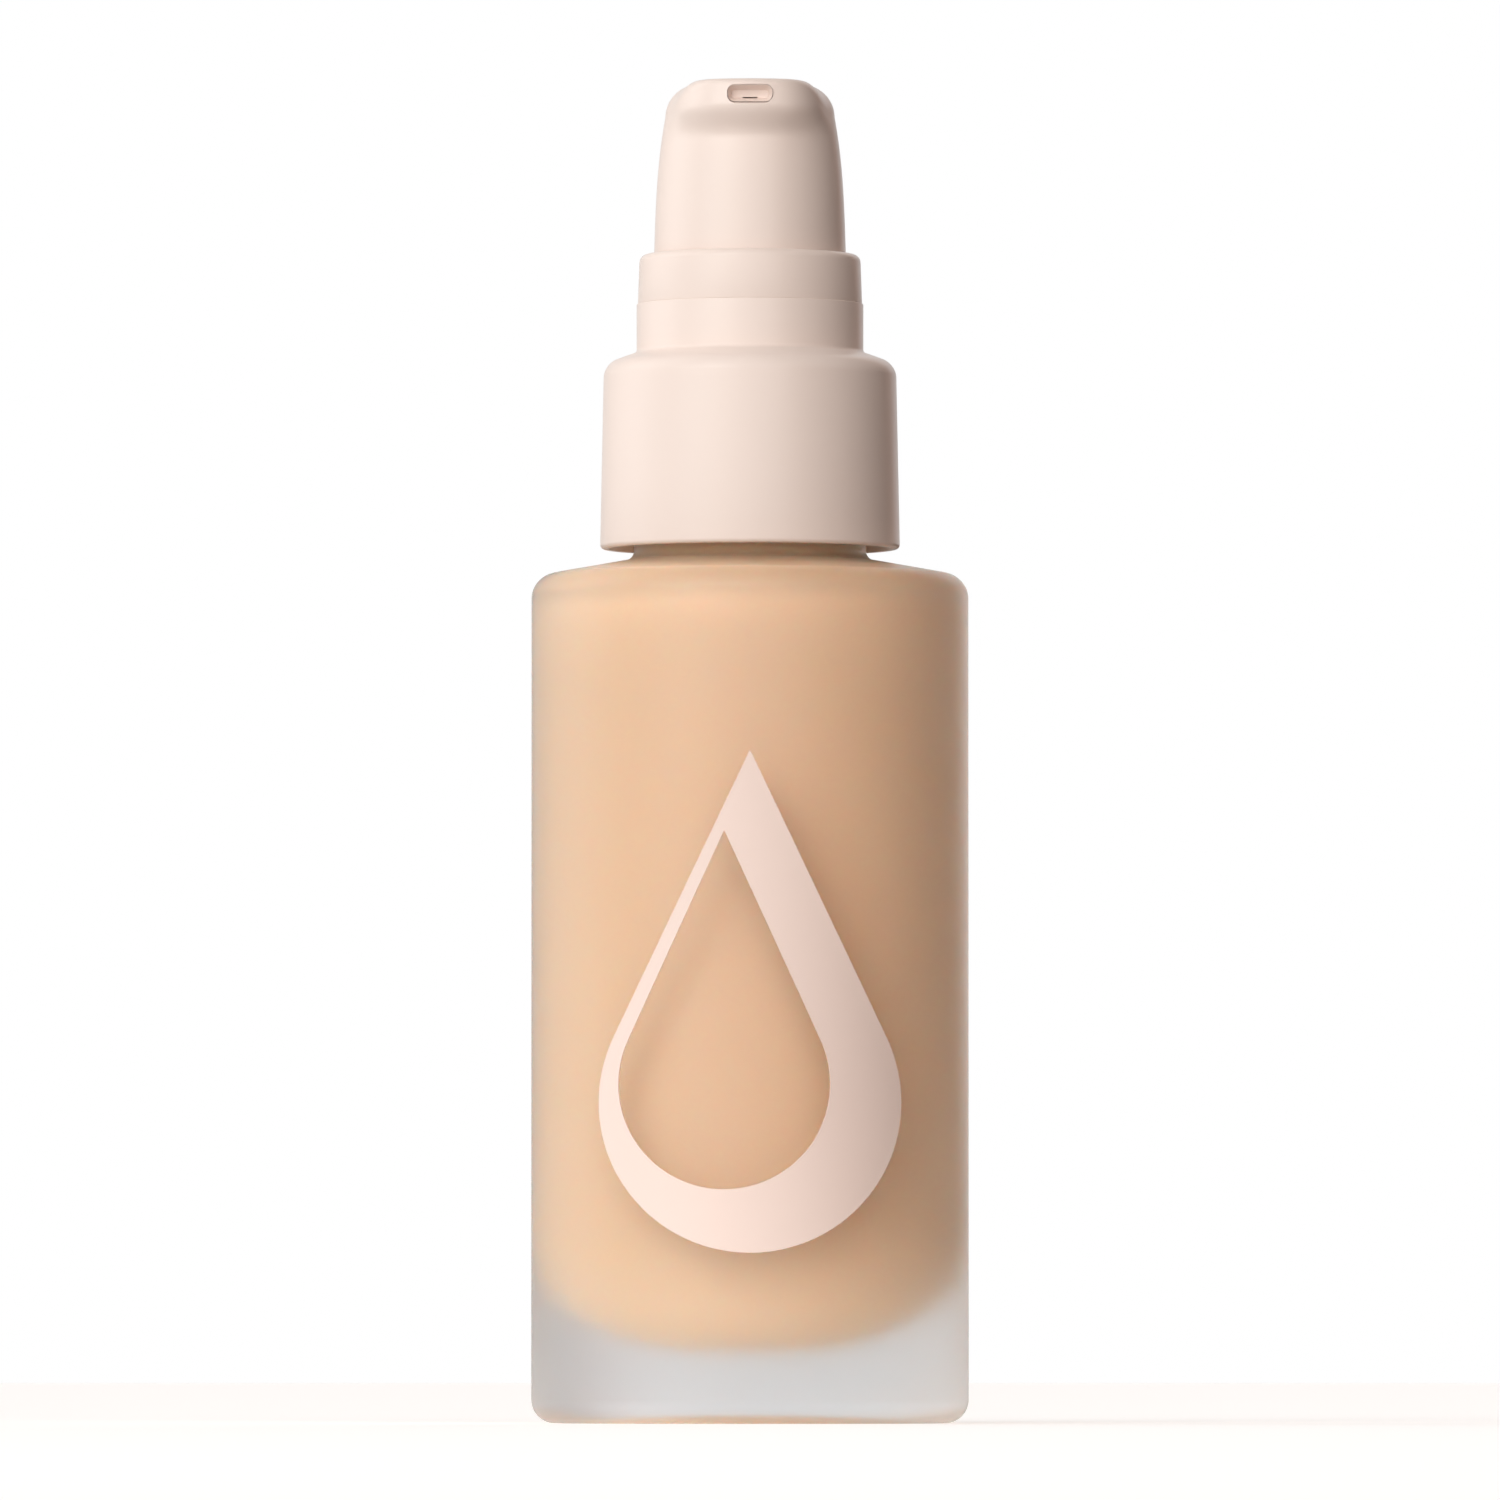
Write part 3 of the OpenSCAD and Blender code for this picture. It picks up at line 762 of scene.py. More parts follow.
    def foundation(self) -> None:
        """Turns the foundation, which wets the glass and leaves room for the pump."""
        gap = self.pump_gap_mm
        tube_low, tube_high = node_box_mm("dip_tube")
        tube_r, socket_r = tube_high.x + gap, tube_high.x + self.socket_wall_mm + gap
        tube_foot = tube_low.z - gap
        socket_foot = node_box_mm("pump_housing")[0].z - gap
        room = [
            Corner(self.housing_r_mm + gap, self.level_mm),
            Corner(self.housing_r_mm + gap, node_box_mm("spring_seat")[0].z),
            Corner(socket_r, tube_high.z),
            Corner(socket_r, socket_foot),
            Corner(tube_r, socket_foot),
            Corner(tube_r, tube_foot),
            Corner(0.0, tube_foot),
        ]
        bm = turned(self.cavity(self.contact_mm, self.level_mm) + room, closed=False)
        self.shop.add("foundation_body", bm, "bottle", "foundation_fill", FOUNDATION)

    def drop_loop(self, bm: BMesh, r: float, tip: float, shift: tuple[float, float]) -> list[BMEdge]:
        """Draws a drop's outline, flat in the plane y = 0.

        Args:
            bm: The mesh to draw in.
            r: Radius of its round end, in millimetres.
            tip: Height of its tip above the centre of that end.
            shift: How far that centre lies from the emblem's own, to the right and up.

        Returns:
            The outline's edges.
        """
        made = bmesh.ops.create_circle(bm, segments=self.drop_sides, radius=1.0)
        lean = math.acos(r / tip)
        for vert in made["verts"]:
            from_up = abs(math.atan2(vert.co.x, vert.co.y))
            reach = r / math.cos(max(0.0, lean - from_up)) * MM
            away = Vector((vert.co.x, vert.co.y)).normalized() * reach
            vert.co = (away.x + shift[0] * MM, 0.0, away.y + (self.drop_z_mm + shift[1]) * MM)
        return list({edge for vert in made["verts"] for edge in vert.link_edges})

    def emblem(self) -> None:
        """Prints the open drop on the front of the glass."""
        ink_mm = -node_box_mm("printed_emblem")[0].y - self.r_mm
        bm = bmesh.new()
        outer = self.drop_loop(bm, self.drop_r_mm, self.drop_tip_mm, (0.0, 0.0))
        inner = self.drop_loop(
            bm, self.drop_r_mm * self.hole_r_share, self.drop_tip_mm * self.hole_tip_share,
            (self.drop_r_mm * self.hole_shift_shares[0], self.drop_r_mm * self.hole_shift_shares[1]),
        )
        bmesh.ops.bridge_loops(bm, edges=outer + inner)
        across = [e for e in bm.edges if e not in set(outer + inner)]
        bmesh.ops.subdivide_edges(bm, edges=across, cuts=self.drop_cuts, use_grid_fill=True)
        for vert in bm.verts:
            vert.co.y = -math.sqrt((self.r_mm * MM) ** 2 - vert.co.x**2)
        bmesh.ops.recalc_face_normals(bm, faces=bm.faces[:])
        if bm.faces[:][0].normal.y > 0.0:
            bmesh.ops.reverse_faces(bm, faces=bm.faces[:])
        base = bm.faces[:]
        top = bmesh.ops.extrude_face_region(bm, geom=base, use_keep_orig=True)
        lifted = [v for v in top["geom"] if isinstance(v, BMVert)]
        grow = (self.r_mm + ink_mm) / self.r_mm
        for vert in lifted:
            vert.co.x *= grow
            vert.co.y *= grow
        bmesh.ops.recalc_face_normals(bm, faces=bm.faces[:])
        self.shop.add("emblem_ink", bm, "bottle", "printed_emblem", PALE_INK)

    def build(self) -> None:
        """Makes the three pieces."""
        self.glass()
        self.foundation()
        self.emblem()


@dataclass
class Closure:
    """The collar and guide ring that show, over the threaded closure.

    Args:
        shop: Where the materials come from.
    """

    shop: Workshop
    roof_mm: float = 1.3
    roof_deg: float = 20.0
    draft_mm: float = 0.3
    foot_wall_mm: float = 0.75
    edge_round_mm: float = 1.5
    foot_in_round_mm: float = 0.15
    foot_out_round_mm: float = 0.35
    turret_foot_round_mm: float = 0.3
    sleeve_wall_mm: float = 0.65
    turret_wall_mm: float = 0.56
    step_mm: float = 0.1
    turret_round_mm: float = 0.06
    step_round_mm: float = 0.04
    ring_draft_mm: float = 0.14
    ring_round_mm: float = 0.65
    ring_bore_round_mm: float = 0.15
    chamfer_mm: float = 1.1

    def __post_init__(self) -> None:
        """Reads the sizes that the frame holds."""
        low, high = node_box_mm("outer_collar")
        self.foot_mm, self.turret_top_mm, self.r_mm = low.z, high.z, high.x
        closure_low, closure_high = node_box_mm("screw_closure")
        self.closure_foot_mm, self.closure_top_mm = closure_low.z, closure_high.z
        self.closure_r_mm = closure_high.x
        ring_high = node_box_mm("guide_ring")[1]
        self.ring_r_mm, self.ring_top_mm = ring_high.x, ring_high.z
        self.turret_r_mm = self.ring_r_mm + self.step_mm
        self.sleeve_r_mm = self.turret_r_mm - self.turret_wall_mm
        self.roof_z_mm = self.closure_top_mm + self.roof_mm

    def collar(self) -> None:
        """Turns the outer collar, with its skirt, roof and turret."""
        top_r = self.r_mm - self.draft_mm
        edge_z = self.roof_z_mm - (top_r - self.turret_r_mm) * math.tan(math.radians(self.roof_deg))
        outline = [
            Corner(self.r_mm - self.foot_wall_mm, self.foot_mm, self.foot_in_round_mm, 4),
            Corner(self.r_mm, self.foot_mm, self.foot_out_round_mm, 6),
            Corner(top_r, edge_z, self.edge_round_mm, 12),
            Corner(self.turret_r_mm, self.roof_z_mm, self.turret_foot_round_mm, 6),
            Corner(self.turret_r_mm, self.turret_top_mm, self.turret_round_mm, 3),
            Corner(self.sleeve_r_mm, self.turret_top_mm),
            Corner(self.sleeve_r_mm, self.closure_top_mm),
            Corner(self.closure_r_mm - self.chamfer_mm, self.closure_top_mm),
            Corner(self.closure_r_mm, self.closure_top_mm - self.chamfer_mm),
            Corner(self.closure_r_mm, self.closure_foot_mm),
        ]
        self.shop.add("collar_shell", turned(outline), "closure", "outer_collar", BLUSH_PLASTIC)

    def ring(self) -> None:
        """Turns the guide ring, whose sleeve stands inside the turret."""
        bore = self.sleeve_r_mm - self.sleeve_wall_mm
        top_r = self.ring_r_mm - self.ring_draft_mm
        outline = [
            Corner(bore, self.closure_top_mm),
            Corner(self.sleeve_r_mm, self.closure_top_mm),
            Corner(self.sleeve_r_mm, self.turret_top_mm),
            Corner(self.ring_r_mm, self.turret_top_mm, self.step_round_mm, 3),
            Corner(top_r, self.ring_top_mm, self.ring_round_mm, 10),
            Corner(bore, self.ring_top_mm, self.ring_bore_round_mm, 4),
        ]
        self.shop.add("ring_sleeve", turned(outline), "closure", "guide_ring", BLUSH_PLASTIC)

    def build(self) -> None:
        """Makes the ring and collar, and dresses the threaded closure."""
        self.collar()
        self.ring()
        self.shop.dress_node("screw_closure", NATURAL_PLASTIC)


@dataclass
class PumpWorks:
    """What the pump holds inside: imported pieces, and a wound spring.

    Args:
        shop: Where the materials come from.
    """

    shop: Workshop
    wire_mm: float = 0.55
    wire_sides: int = 12
    turns: int = 7
    stroke_mm: float = 5.0
    steps: int = 40

    def spring(self) -> None:
        """Winds the return spring."""
        low, high = node_box_mm("return_spring")
        wire_r, mean_r = self.wire_mm / 2.0, high.x - self.wire_mm / 2.0
        climb = high.z - low.z - self.wire_mm
        bm = bmesh.new()
        made = bmesh.ops.create_circle(
            bm, cap_ends=True, segments=self.wire_sides, radius=wire_r * MM
        )
        bmesh.ops.rotate(bm, verts=made["verts"], cent=(0, 0, 0), matrix=Matrix.Rotation(math.pi / 2, 3, "X"))
        bmesh.ops.translate(bm, verts=made["verts"], vec=(mean_r * MM, 0.0, (low.z + wire_r) * MM))
        wind(bm, climb, self.turns, self.turns * self.steps)
        bmesh.ops.recalc_face_normals(bm, faces=bm.faces[:])
        piece = self.shop.add("spring_coil", bm, "pump", "return_spring", SPRING_STEEL, sharp_deg=60.0)
        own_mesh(piece)

    def build(self) -> None:
        """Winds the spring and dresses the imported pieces."""
        self.spring()
        for node in ("pump_housing", "housing_cap", "spring_seat", "piston_rod", "piston", "stem"):
            self.shop.dress_node(node, NATURAL_PLASTIC)
        self.shop.dress_node("neck_gasket", GASKET_FOAM)
        self.shop.dress_node("stem_wiper", GASKET_FOAM)
        self.shop.dress_node("dip_tube", CLEAR_TUBE)
        self.shop.dress_node("inlet_ball", BALL_STEEL)


@dataclass
class Actuator:
    """The push-down head with its spout and nozzle.

    Args:
        shop: Where the materials come from.
    """

    shop: Workshop
    sides: int = 160
    levels: int = 46
    level_power: float = 0.7
    edge_steps: int = 14
    draft_mm: float = 0.9
    draft_foot_share: float = 0.35
    edge_mm: float = 2.6
    reach_mm: float = 1.8
    spout_h_mm: float = 4.6
    spout_climb_mm: float = 2.6
    spout_edge_mm: float = 0.6
    spout_core_deg: float = 18.0
    spout_fade_deg: float = 72.0
    wall_mm: float = 0.85
    top_mm: float = 0.7
    plate_h_mm: float = 2.9
    rim_cuts_mm: tuple[tuple[float, float], ...] = ((0.45, 0.5), (0.2, 0.9))
    dish_mm: float = 0.4
    dish_lip_mm: float = 0.02
    slot_w_mm: float = 3.7
    slot_h_mm: float = 1.45
    slot_roof_mm: float = 0.5
    slot_round_share: float = 0.45
    slot_round_steps: int = 8
    slot_in_mm: float = 0.5
    tip_back_mm: float = 2.1
    orifice_w_mm: float = 1.2
    orifice_h_mm: float = 0.32
    orifice_up_mm: float = 0.31
    hollow_past_mm: float = 1.0
    slot_past_mm: float = 2.0
    rim_past_mm: float = 1.0
    dish_past_mm: float = 0.3
    orifice_past_mm: float = 0.2

    def __post_init__(self) -> None:
        """Reads the sizes that the frame holds."""
        low, high = node_box_mm("actuator_shell")
        self.foot_mm, self.top_z_mm, self.r_mm = low.z, high.z, high.x
        self.ring_top_mm = node_box_mm("guide_ring")[1].z
        self.plate_r_mm = node_box_mm("actuator_core")[1].x
        self.slot_z_mm = self.top_z_mm - self.slot_roof_mm - self.slot_h_mm / 2.0
        self.face_mm = self.r_mm - self.draft_mm + self.reach_mm

    def side_r(self, z: float) -> float:
        """Radius of the plain side, which tapers more and more to its top.

        Args:
            z: The height, in millimetres.

        Returns:
            The radius, in millimetres.
        """
        edge_z, foot = self.top_z_mm - self.edge_mm, self.draft_foot_share
        t = max(0.0, (z - self.ring_top_mm) / (edge_z - self.ring_top_mm))
        return self.r_mm - self.draft_mm * t * (foot + (1.0 - foot) * t * t)

    def outline(self, angle: float) -> list[tuple[float, float]]:
        """The outer surface at an angle from straight ahead, from its foot to its top edge.

        Args:
            angle: The angle, in degrees.

        Returns:
            Radius and height of each point, in millimetres.
        """
        share = 1.0 - ease(self.spout_core_deg, self.spout_fade_deg, abs(angle))
        edge = self.edge_mm + (self.spout_edge_mm - self.edge_mm) * share
        reach = share * self.reach_mm
        wall_top = self.top_z_mm - edge
        spout_z = self.top_z_mm - self.spout_h_mm
        points = []
        for i in range(self.levels + 1):
            z = self.foot_mm + (wall_top - self.foot_mm) * (i / self.levels) ** self.level_power
            points.append((self.side_r(z) + reach * ease(spout_z, spout_z + self.spout_climb_mm, z), z))
        centre = self.side_r(wall_top) + reach - edge
        for i in range(1, self.edge_steps + 1):
            turn = math.pi / 2 * i / self.edge_steps
            points.append((centre + edge * math.cos(turn), wall_top + edge * math.sin(turn)))
        return points

    def skin(self) -> BMesh:
        """Draws the head's solid outer form, ring by ring.

        Returns:
            A closed mesh.
        """
        bm = bmesh.new()
        made = bmesh.ops.create_circle(bm, segments=self.sides, radius=1.0)
        verts = sorted(made["verts"], key=lambda v: math.atan2(v.co.y, v.co.x))
        angles = [math.degrees(math.atan2(v.co.y, v.co.x)) + 90.0 for v in verts]
        outlines = [self.outline((a + 180.0) % 360.0 - 180.0) for a in angles]
        ring = verts
        for level in range(len(outlines[0])):
            if level:
                edges = [bm.edges.get((a, b)) for a, b in zip(ring, ring[1:] + ring[:1])]
                grown = bmesh.ops.extrude_edge_only(bm, edges=edges)
                fresh = [g for g in grown["geom"] if isinstance(g, BMVert)]
                by_place = {tuple(round(c, 9) for c in v.co): v for v in fresh}
                ring = [by_place[tuple(round(c, 9) for c in v.co)] for v in ring]
            for vert, angle, points in zip(ring, angles, outlines):
                r, z = points[level]
                turn = math.radians(angle - 90.0)
                vert.co = (r * math.cos(turn) * MM, r * math.sin(turn) * MM, z * MM)
        bmesh.ops.holes_fill(bm, edges=[e for e in bm.edges if e.is_boundary], sides=0)
        bmesh.ops.recalc_face_normals(bm, faces=bm.faces[:])
        return bm

    def slot_bar(self, grow_mm: float, back_mm: float, front_mm: float, flare_mm: float = 0.0) -> BMesh:
        """A bar with the slot's rounded outline, from one depth to another.

        Args:
            grow_mm: How much larger it is than the slot, all round.
            back_mm: Distance from the axis where it starts.
            front_mm: Distance from the axis where it ends.
            flare_mm: How much wider it is at its front.

        Returns:
            A closed mesh.
        """
        bm = bmesh.new()
        made = bmesh.ops.create_grid(bm, x_segments=1, y_segments=1, size=0.5)
        w, h = self.slot_w_mm + 2 * grow_mm, self.slot_h_mm + 2 * grow_mm
        bmesh.ops.scale(bm, verts=made["verts"], vec=(w * MM, h * MM, 1.0))
        bmesh.ops.bevel(
            bm, geom=made["verts"], offset_type="OFFSET",
            offset=(self.slot_h_mm * self.slot_round_share + grow_mm) * MM,
            segments=self.slot_round_steps, profile=0.5, affect="VERTICES", material=-1,
        )
        bmesh.ops.rotate(bm, verts=bm.verts[:], cent=(0, 0, 0), matrix=Matrix.Rotation(math.pi / 2, 3, "X"))
        bmesh.ops.translate(bm, verts=bm.verts[:], vec=(0.0, -back_mm * MM, self.slot_z_mm * MM))
        grown = bmesh.ops.extrude_face_region(bm, geom=bm.faces[:])
        front = [g for g in grown["geom"] if isinstance(g, BMVert)]
        bmesh.ops.translate(bm, verts=front, vec=(0.0, -(front_mm - back_mm) * MM, 0.0))
        centre_z = self.slot_z_mm * MM
        for vert in front:
            vert.co.x *= 1.0 + flare_mm * 2.0 / w
            vert.co.z = centre_z + (vert.co.z - centre_z) * (1.0 + flare_mm * 2.0 / h)
        bmesh.ops.recalc_face_normals(bm, faces=bm.faces[:])
        return bm

    def shell(self) -> None:
        """Hollows the head and cuts its nozzle slot, whose rim is softened in steps."""
        ceiling, hollow_foot = self.top_z_mm - self.top_mm, self.foot_mm - self.hollow_past_mm
        plate_foot = node_box_mm("actuator_core")[1].z - self.plate_h_mm
        hollow = [
            Corner(0.0, hollow_foot),
            Corner(self.r_mm - self.wall_mm, hollow_foot),
            Corner(self.r_mm - self.wall_mm, self.ring_top_mm),
            Corner(self.plate_r_mm, plate_foot),
            Corner(self.plate_r_mm, ceiling),
            Corner(0.0, ceiling),
        ]
        bm = cut(self.skin(), turned(hollow, closed=False))
        back = self.plate_r_mm - self.slot_in_mm
        bm = cut(bm, self.slot_bar(0.0, back, self.face_mm + self.slot_past_mm))
        for depth_mm, flare_mm in self.rim_cuts_mm:
            back, front = self.face_mm - depth_mm, self.face_mm + self.rim_past_mm
            bm = cut(bm, self.slot_bar(0.0, back, front, flare_mm))
        self.shop.add("head_shell", bm, "head", "actuator_shell", BLUSH_PLASTIC, sharp_deg=50.0)

    def orifice(self, back_mm: float) -> BMesh:
        """The small slot through the back of the nozzle's dish.

        Args:
            back_mm: Distance from the axis to the insert's back.

        Returns:
            A closed mesh.
        """
        bm = bmesh.new()
        made = bmesh.ops.create_cube(bm, size=1.0)
        depth_mm = self.tip_back_mm + self.orifice_past_mm
        size = Vector((self.orifice_w_mm, depth_mm, self.orifice_h_mm)) * MM
        low_z = self.slot_z_mm - self.slot_h_mm / 2.0 + self.orifice_up_mm
        place = Vector((0.0, -back_mm - self.tip_back_mm / 2.0, low_z)) * MM
        bmesh.ops.scale(bm, verts=made["verts"], vec=size)
        bmesh.ops.translate(bm, verts=made["verts"], vec=place)
        return bm

    def nozzle(self) -> None:
        """Makes the nozzle's insert: a flared dish with the orifice low in its back."""
        low, high = node_box_mm("nozzle_insert")
        fit = (high.x - low.x - self.slot_w_mm) / 2.0
        back, front = -high.y, -low.y
        floor, past = back + self.tip_back_mm, front + self.dish_past_mm
        flare = (self.dish_mm + fit - self.dish_lip_mm) * (past - floor) / (front - floor)
        dish = self.slot_bar(-self.dish_mm, floor, past, flare)
        bm = cut(self.slot_bar(fit, back, front), dish)
        bm = cut(bm, self.orifice(back))
        self.shop.add("nozzle_tip", bm, "head", "nozzle_insert", BLUSH_PLASTIC)

    def build(self) -> None:
        """Makes the shell and nozzle, and dresses the core."""
        self.shell()
        self.nozzle()
        self.shop.dress_node("actuator_core", NATURAL_PLASTIC)


# ------------ studio


class Lamp(Enum):
    """The studio's lamps: azimuth and elevation in degrees, distance, width, height in metres, and watts."""

    STRIP = (-29.0, 28.0, 0.9, 0.36, 0.05, 0.45)


# Azimuth from the front in degrees, right positive, and the room's red, green and blue there.
ROOM_LIGHT = (
    (-180.0, 0.93, 0.92, 0.92), (-157.0, 1.0, 0.97, 0.94), (-140.0, 1.3, 1.15, 1.05),
    (-112.0, 2.1, 2.0, 1.95), (-97.0, 2.2, 2.15, 2.15), (-80.0, 1.0, 1.05, 1.08),
    (-64.0, 0.45, 0.5, 0.55), (-50.0, 1.9, 2.1, 2.2), (-36.0, 3.3, 3.35, 3.2),
    (-22.0, 3.3, 3.15, 2.95), (-7.0, 2.7, 2.48, 2.4), (8.0, 2.35, 2.22, 2.15),
    (23.0, 2.08, 1.92, 1.82), (38.0, 0.62, 0.46, 0.38), (50.0, 0.05, 0.02, 0.01),
    (130.0, 0.04, 0.01, 0.0), (142.0, 0.6, 0.36, 0.27), (157.0, 1.35, 1.22, 1.18),
    (180.0, 0.93, 0.92, 0.92),
)
ROOM_SCALE = 0.78
# The even grey that rays which have only crossed glass see in place of most of the room.
STRAIGHT_THROUGH = (0.66, 0.67, 0.69)
# What the room's right side is multiplied by, for rays that leave the glass after a scatter.
WARMED = (0.9, 0.44, 0.24)
# A ray's depth counts whole bounces, so this parts none from one or more.
HALF_A_BOUNCE = 0.5


@dataclass
class Studio:
    """The floor, backdrop light, lamps and camera.

    Args:
        aim_mm: Height of the point that the camera looks at.
        distance: How far in front of the bottle's axis the camera stands.
        camera_mm: The camera's height.
        lens: Focal length in millimetres.
        sensor: Sensor width in millimetres.
        clip: The nearest and farthest distance that the camera shows.
        floor_r: The floor's radius.
        floor_rough: Its roughness.
        floor_tones: Its two greys, as the camera sees it.
        patches_per_m: How often those greys change in a metre.
        near_bounce: Its colour on the left, for rays off other surfaces: painted light, not the floor's own
            tone.
        far_bounce: The same on the right, dark: painted shade.
        bounce: Where the left's colour starts to turn into the right's, and where that ends.
        through_floor: Its grey, seen through glass: darker than the tone the camera sees, a painted shade.
        floor_glow: Its own light, as the camera sees it.
        near_glow: Painted light of its own on the left, for rays off other surfaces.
        far_glow: The same on the right.
        glow_fade: Distances from the axis where those two start to fade, and where they end.
        glow_colour: The colour of its own light: the even glow that the camera sees, and the painted glow.
        overhead: Sines of the elevations where the room starts to dim, and where that ends.
        overhead_share: The share of the room's light that is left there.
        warm_side: Where the warmed side starts, and where it is whole, as a direction's share to the right.
        evened: How much of the room STRAIGHT_THROUGH stands for.
    """

    aim_mm: float = 54.2
    distance: float = 1.37
    camera_mm: float = 5.0
    lens: float = 408.4
    sensor: float = 36.0
    clip: tuple[float, float] = (0.05, 20.0)
    floor_r: float = 2.5
    floor_rough: float = 0.9
    floor_tones: tuple[float, float] = (0.92, 0.94)
    patches_per_m: float = 3.0
    near_bounce: tuple[float, float, float] = (0.72, 0.70, 0.68)
    far_bounce: tuple[float, float, float] = (0.12, 0.08, 0.06)
    bounce: tuple[float, float] = (-0.02, 0.07)
    through_floor: float = 0.78
    floor_glow: float = 0.36
    near_glow: float = 0.44
    far_glow: float = 0.06
    glow_fade: tuple[float, float] = (0.05, 0.17)
    glow_colour: tuple[float, float, float] = (1.0, 0.97, 0.95)
    overhead: tuple[float, float] = (0.42, 0.985)
    overhead_share: float = 0.4
    warm_side: tuple[float, float] = (-0.1, 0.55)
    evened: float = 0.72

    def floor(self) -> None:
        """Lays a plain pale floor. For rays off the bottle its colour and glow are painted light and shade,
        bright on the left and fading to dark on the right.
        """
        bm = bmesh.new()
        bmesh.ops.create_circle(bm, cap_ends=True, segments=96, radius=self.floor_r)
        mat = bpy.data.materials.new("pale_floor")
        mat.use_nodes = True
        tree = mat.node_tree
        shader = tree.nodes["Principled BSDF"]
        shader.inputs["Roughness"].default_value = self.floor_rough
        shader.inputs["Emission Color"].default_value = (*self.glow_colour, 1.0)
        place = add_node(tree, "TexCoord")
        split = add_node(tree, "SeparateXYZ")
        path = add_node(tree, "LightPath")
        noise = add_node(tree, "TexNoise", {"Scale": self.patches_per_m})
        dark, light = ((*[grey] * 3, 1.0) for grey in self.floor_tones)
        tone = add_node(tree, "Mix", {"A": dark, "B": light}, data_type="RGBA")
        # Painted shade: rays that reach the floor through glass find a darker grey than the camera sees.
        seen = add_node(tree, "Mix", {"B": (*[self.through_floor] * 3, 1.0)}, data_type="RGBA")
        shown = add_node(tree, "Mix", data_type="RGBA")
        # Painted light and shade: for rays off the bottle the floor is light on the left and dark on the
        # right, unlike the even tone the camera sees.
        side = smooth_span(tree, *self.bounce)
        sides = {"A": (*self.near_bounce, 1.0), "B": (*self.far_bounce, 1.0)}
        painted_bounce_shade = add_node(tree, "Mix", sides, data_type="RGBA")
        # Painted light: a glow for rays off the bottle, stronger on the left and only near its foot.
        painted_glow_by_side = add_node(tree, "MapRange", {"To Min": self.near_glow, "To Max": self.far_glow})
        away = add_node(tree, "VectorMath", operation="LENGTH")
        fading = smooth_span(tree, *self.glow_fade, 1.0, 0.0)
        painted_glow_pool = add_node(tree, "Math", operation="MULTIPLY")
        fresh = add_node(tree, "Math", {1: HALF_A_BOUNCE}, operation="LESS_THAN")
        straight = add_node(tree, "Math", operation="MULTIPLY")
        unlit = add_node(tree, "Mix", {"B": 0.0}, data_type="FLOAT")
        glow = add_node(tree, "Mix", {"B": self.floor_glow}, data_type="FLOAT")
        wire(
            tree,
            (place, "Object", split, "Vector"),
            (split, "X", side, "Value"),
            (side, "Result", painted_bounce_shade, "Factor"),
            (painted_bounce_shade, "Result", seen, "A"),
            (side, "Result", painted_glow_by_side, "Value"),
            (place, "Object", away, 0),
            (away, "Value", fading, "Value"),
            (painted_glow_by_side, "Result", painted_glow_pool, 0),
            (fading, "Result", painted_glow_pool, 1),
            (path, "Diffuse Depth", fresh, 0),
            (fresh, "Value", straight, 0),
            (path, "Is Transmission Ray", straight, 1),
            (straight, "Value", unlit, "Factor"),
            (painted_glow_pool, "Value", unlit, "A"),
            (unlit, "Result", glow, "A"),
            (path, "Is Camera Ray", glow, "Factor"),
            (glow, "Result", shader, "Emission Strength"),
            (place, "Object", noise, "Vector"),
            (noise, "Fac", tone, "Factor"),
            (path, "Is Transmission Ray", seen, "Factor"),
            (path, "Is Camera Ray", shown, "Factor"),
            (seen, "Result", shown, "A"),
            (tone, "Result", shown, "B"),
            (shown, "Result", shader, "Base Color"),
        )
        as_piece("studio_floor", bm, [mat])

    def surround(self) -> None:
        """Sets a bright backdrop for the camera, and ROOM_LIGHT for every other ray."""
        world = bpy.data.worlds.new("soft_room")
        world.use_nodes = True
        bpy.context.scene.world = world
        tree = world.node_tree
        tree.nodes.clear()
        place = add_node(tree, "TexCoord")
        path = add_node(tree, "LightPath")
        split = add_node(tree, "SeparateXYZ")
        front = add_node(tree, "Math", {1: -1.0}, operation="MULTIPLY")
        azimuth = add_node(tree, "Math", operation="ARCTAN2")
        turn = add_node(tree, "MapRange", {"From Min": -math.pi, "From Max": math.pi})
        ramp = add_node(tree, "ValToRGB")
        brightest = max(max(colour) for _, *colour in ROOM_LIGHT)
        stops = ramp.color_ramp
        stops.interpolation = "CARDINAL"
        for degrees, *_ in ROOM_LIGHT[1:-1]:
            stops.elements.new((degrees + 180.0) / 360.0)
        for element, (_, *colour) in zip(stops.elements, ROOM_LIGHT):
            element.color = (*(c / brightest for c in colour), 1.0)
        full = brightest * ROOM_SCALE
        high = smooth_span(tree, *self.overhead, full, full * self.overhead_share)
        scattered = add_node(tree, "Math", {1: HALF_A_BOUNCE}, operation="GREATER_THAN")
        warm_side = smooth_span(tree, *self.warm_side)
        warm_part = add_node(tree, "Math", operation="MULTIPLY")
        warmed_rays = add_node(tree, "Math", operation="MULTIPLY")
        warmed = add_node(tree, "Mix", {"B": (*WARMED, 1.0)}, data_type="RGBA", blend_type="MULTIPLY")
        straight = add_node(tree, "Math", {1: HALF_A_BOUNCE}, operation="LESS_THAN")
        seen_through = add_node(tree, "Math", operation="MULTIPLY")
        evened = add_node(tree, "Math", {1: self.evened}, operation="MULTIPLY")
        lit = add_node(tree, "VectorMath", operation="SCALE")
        plain = add_node(tree, "Mix", {"B": (*STRAIGHT_THROUGH, 1.0)}, data_type="RGBA")
        room = add_node(tree, "Background")
        backdrop = add_node(tree, "Background", {"Color": (1.0, 1.0, 1.0, 1.0)})
        mix = add_node(tree, "MixShader")
        output = add_node(tree, "OutputWorld")
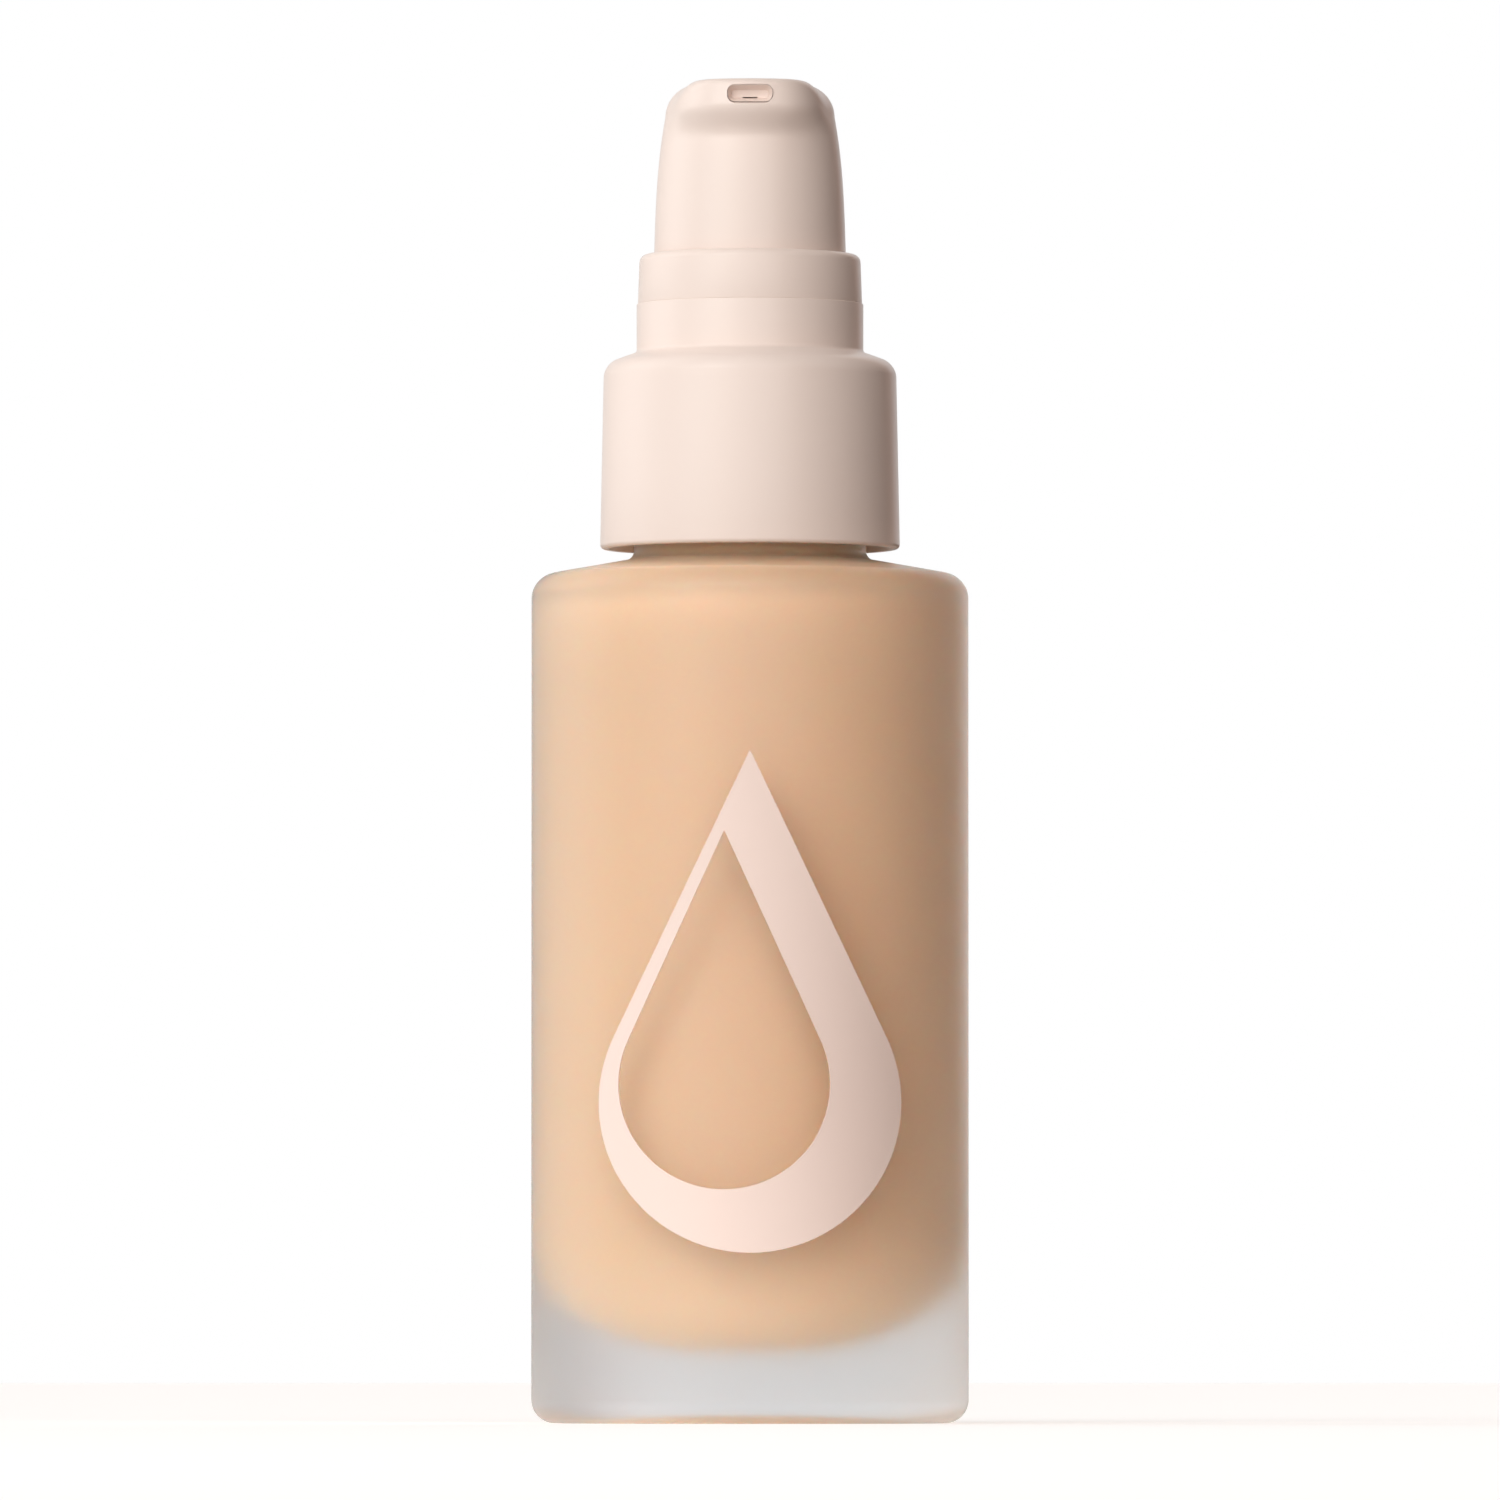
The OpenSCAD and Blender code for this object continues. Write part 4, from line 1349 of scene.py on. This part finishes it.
        wire(
            tree,
            (place, "Generated", split, "Vector"),
            (split, "Y", front, 0),
            (split, "X", azimuth, 0),
            (front, "Value", azimuth, 1),
            (azimuth, "Value", turn, "Value"),
            (turn, "Result", ramp, "Fac"),
            (split, "Z", high, "Value"),
            (path, "Diffuse Depth", scattered, 0),
            (path, "Diffuse Depth", straight, 0),
            (split, "X", warm_side, "Value"),
            (path, "Is Transmission Ray", warm_part, 0),
            (scattered, "Value", warm_part, 1),
            (warm_part, "Value", warmed_rays, 0),
            (warm_side, "Result", warmed_rays, 1),
            (warmed_rays, "Value", warmed, "Factor"),
            (ramp, "Color", warmed, "A"),
            (warmed, "Result", lit, 0),
            (high, "Result", lit, "Scale"),
            (path, "Is Transmission Ray", seen_through, 0),
            (straight, "Value", seen_through, 1),
            (seen_through, "Value", evened, 0),
            (evened, "Value", plain, "Factor"),
            (lit, "Vector", plain, "A"),
            (plain, "Result", room, "Color"),
            (path, "Is Camera Ray", mix, 0),
            (room, "Background", mix, 1),
            (backdrop, "Background", mix, 2),
            (mix, "Shader", output, "Surface"),
        )

    def lamps(self) -> None:
        """Hangs the lamps, each turned to the bottle."""
        target = Vector((0.0, 0.0, self.aim_mm * MM))
        for lamp in Lamp:
            azimuth, elevation, distance, width, height, watts = lamp.value
            turn, lift = math.radians(azimuth), math.radians(elevation)
            back = Vector((math.sin(turn) * math.cos(lift), -math.cos(turn) * math.cos(lift), math.sin(lift)))
            data = bpy.data.lights.new(lamp.name.lower() + "_lamp", "AREA")
            data.shape, data.size, data.size_y, data.energy = "RECTANGLE", width, height, watts
            light = bpy.data.objects.new(data.name, data)
            light.location = target + back * distance
            light.rotation_euler = back.to_track_quat("Z", "Y").to_euler()
            light.visible_camera = False
            bpy.context.scene.collection.objects.link(light)
            log.info("%s: %.1f W", data.name, watts)

    def camera(self) -> None:
        """Sets the camera low in front of the bottle."""
        data = bpy.data.cameras.new("camera")
        data.lens, data.sensor_width = self.lens, self.sensor
        data.clip_start, data.clip_end = self.clip
        camera = bpy.data.objects.new("camera", data)
        camera.location = (0.0, -self.distance, self.camera_mm * MM)
        look = Vector((0.0, 0.0, self.aim_mm * MM)) - camera.location
        camera.rotation_euler = look.to_track_quat("-Z", "Y").to_euler()
        bpy.context.scene.collection.objects.link(camera)
        bpy.context.scene.camera = camera

    def build(self) -> None:
        """Sets the whole studio up."""
        self.camera()
        self.floor()
        self.surround()
        self.lamps()
        bpy.context.scene.view_settings.view_transform = "Standard"


def main() -> None:
    """Builds the bottle's sub-assemblies in order, then the studio."""
    logging.basicConfig(level=logging.INFO, format="%(name)s: %(message)s")
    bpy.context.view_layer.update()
    shop = Workshop()
    for assembly in (Bottle(shop), Closure(shop), PumpWorks(shop), Actuator(shop), Studio()):
        log.info("building %s", type(assembly).__name__)
        assembly.build()


if __name__ == "__main__":
    main()
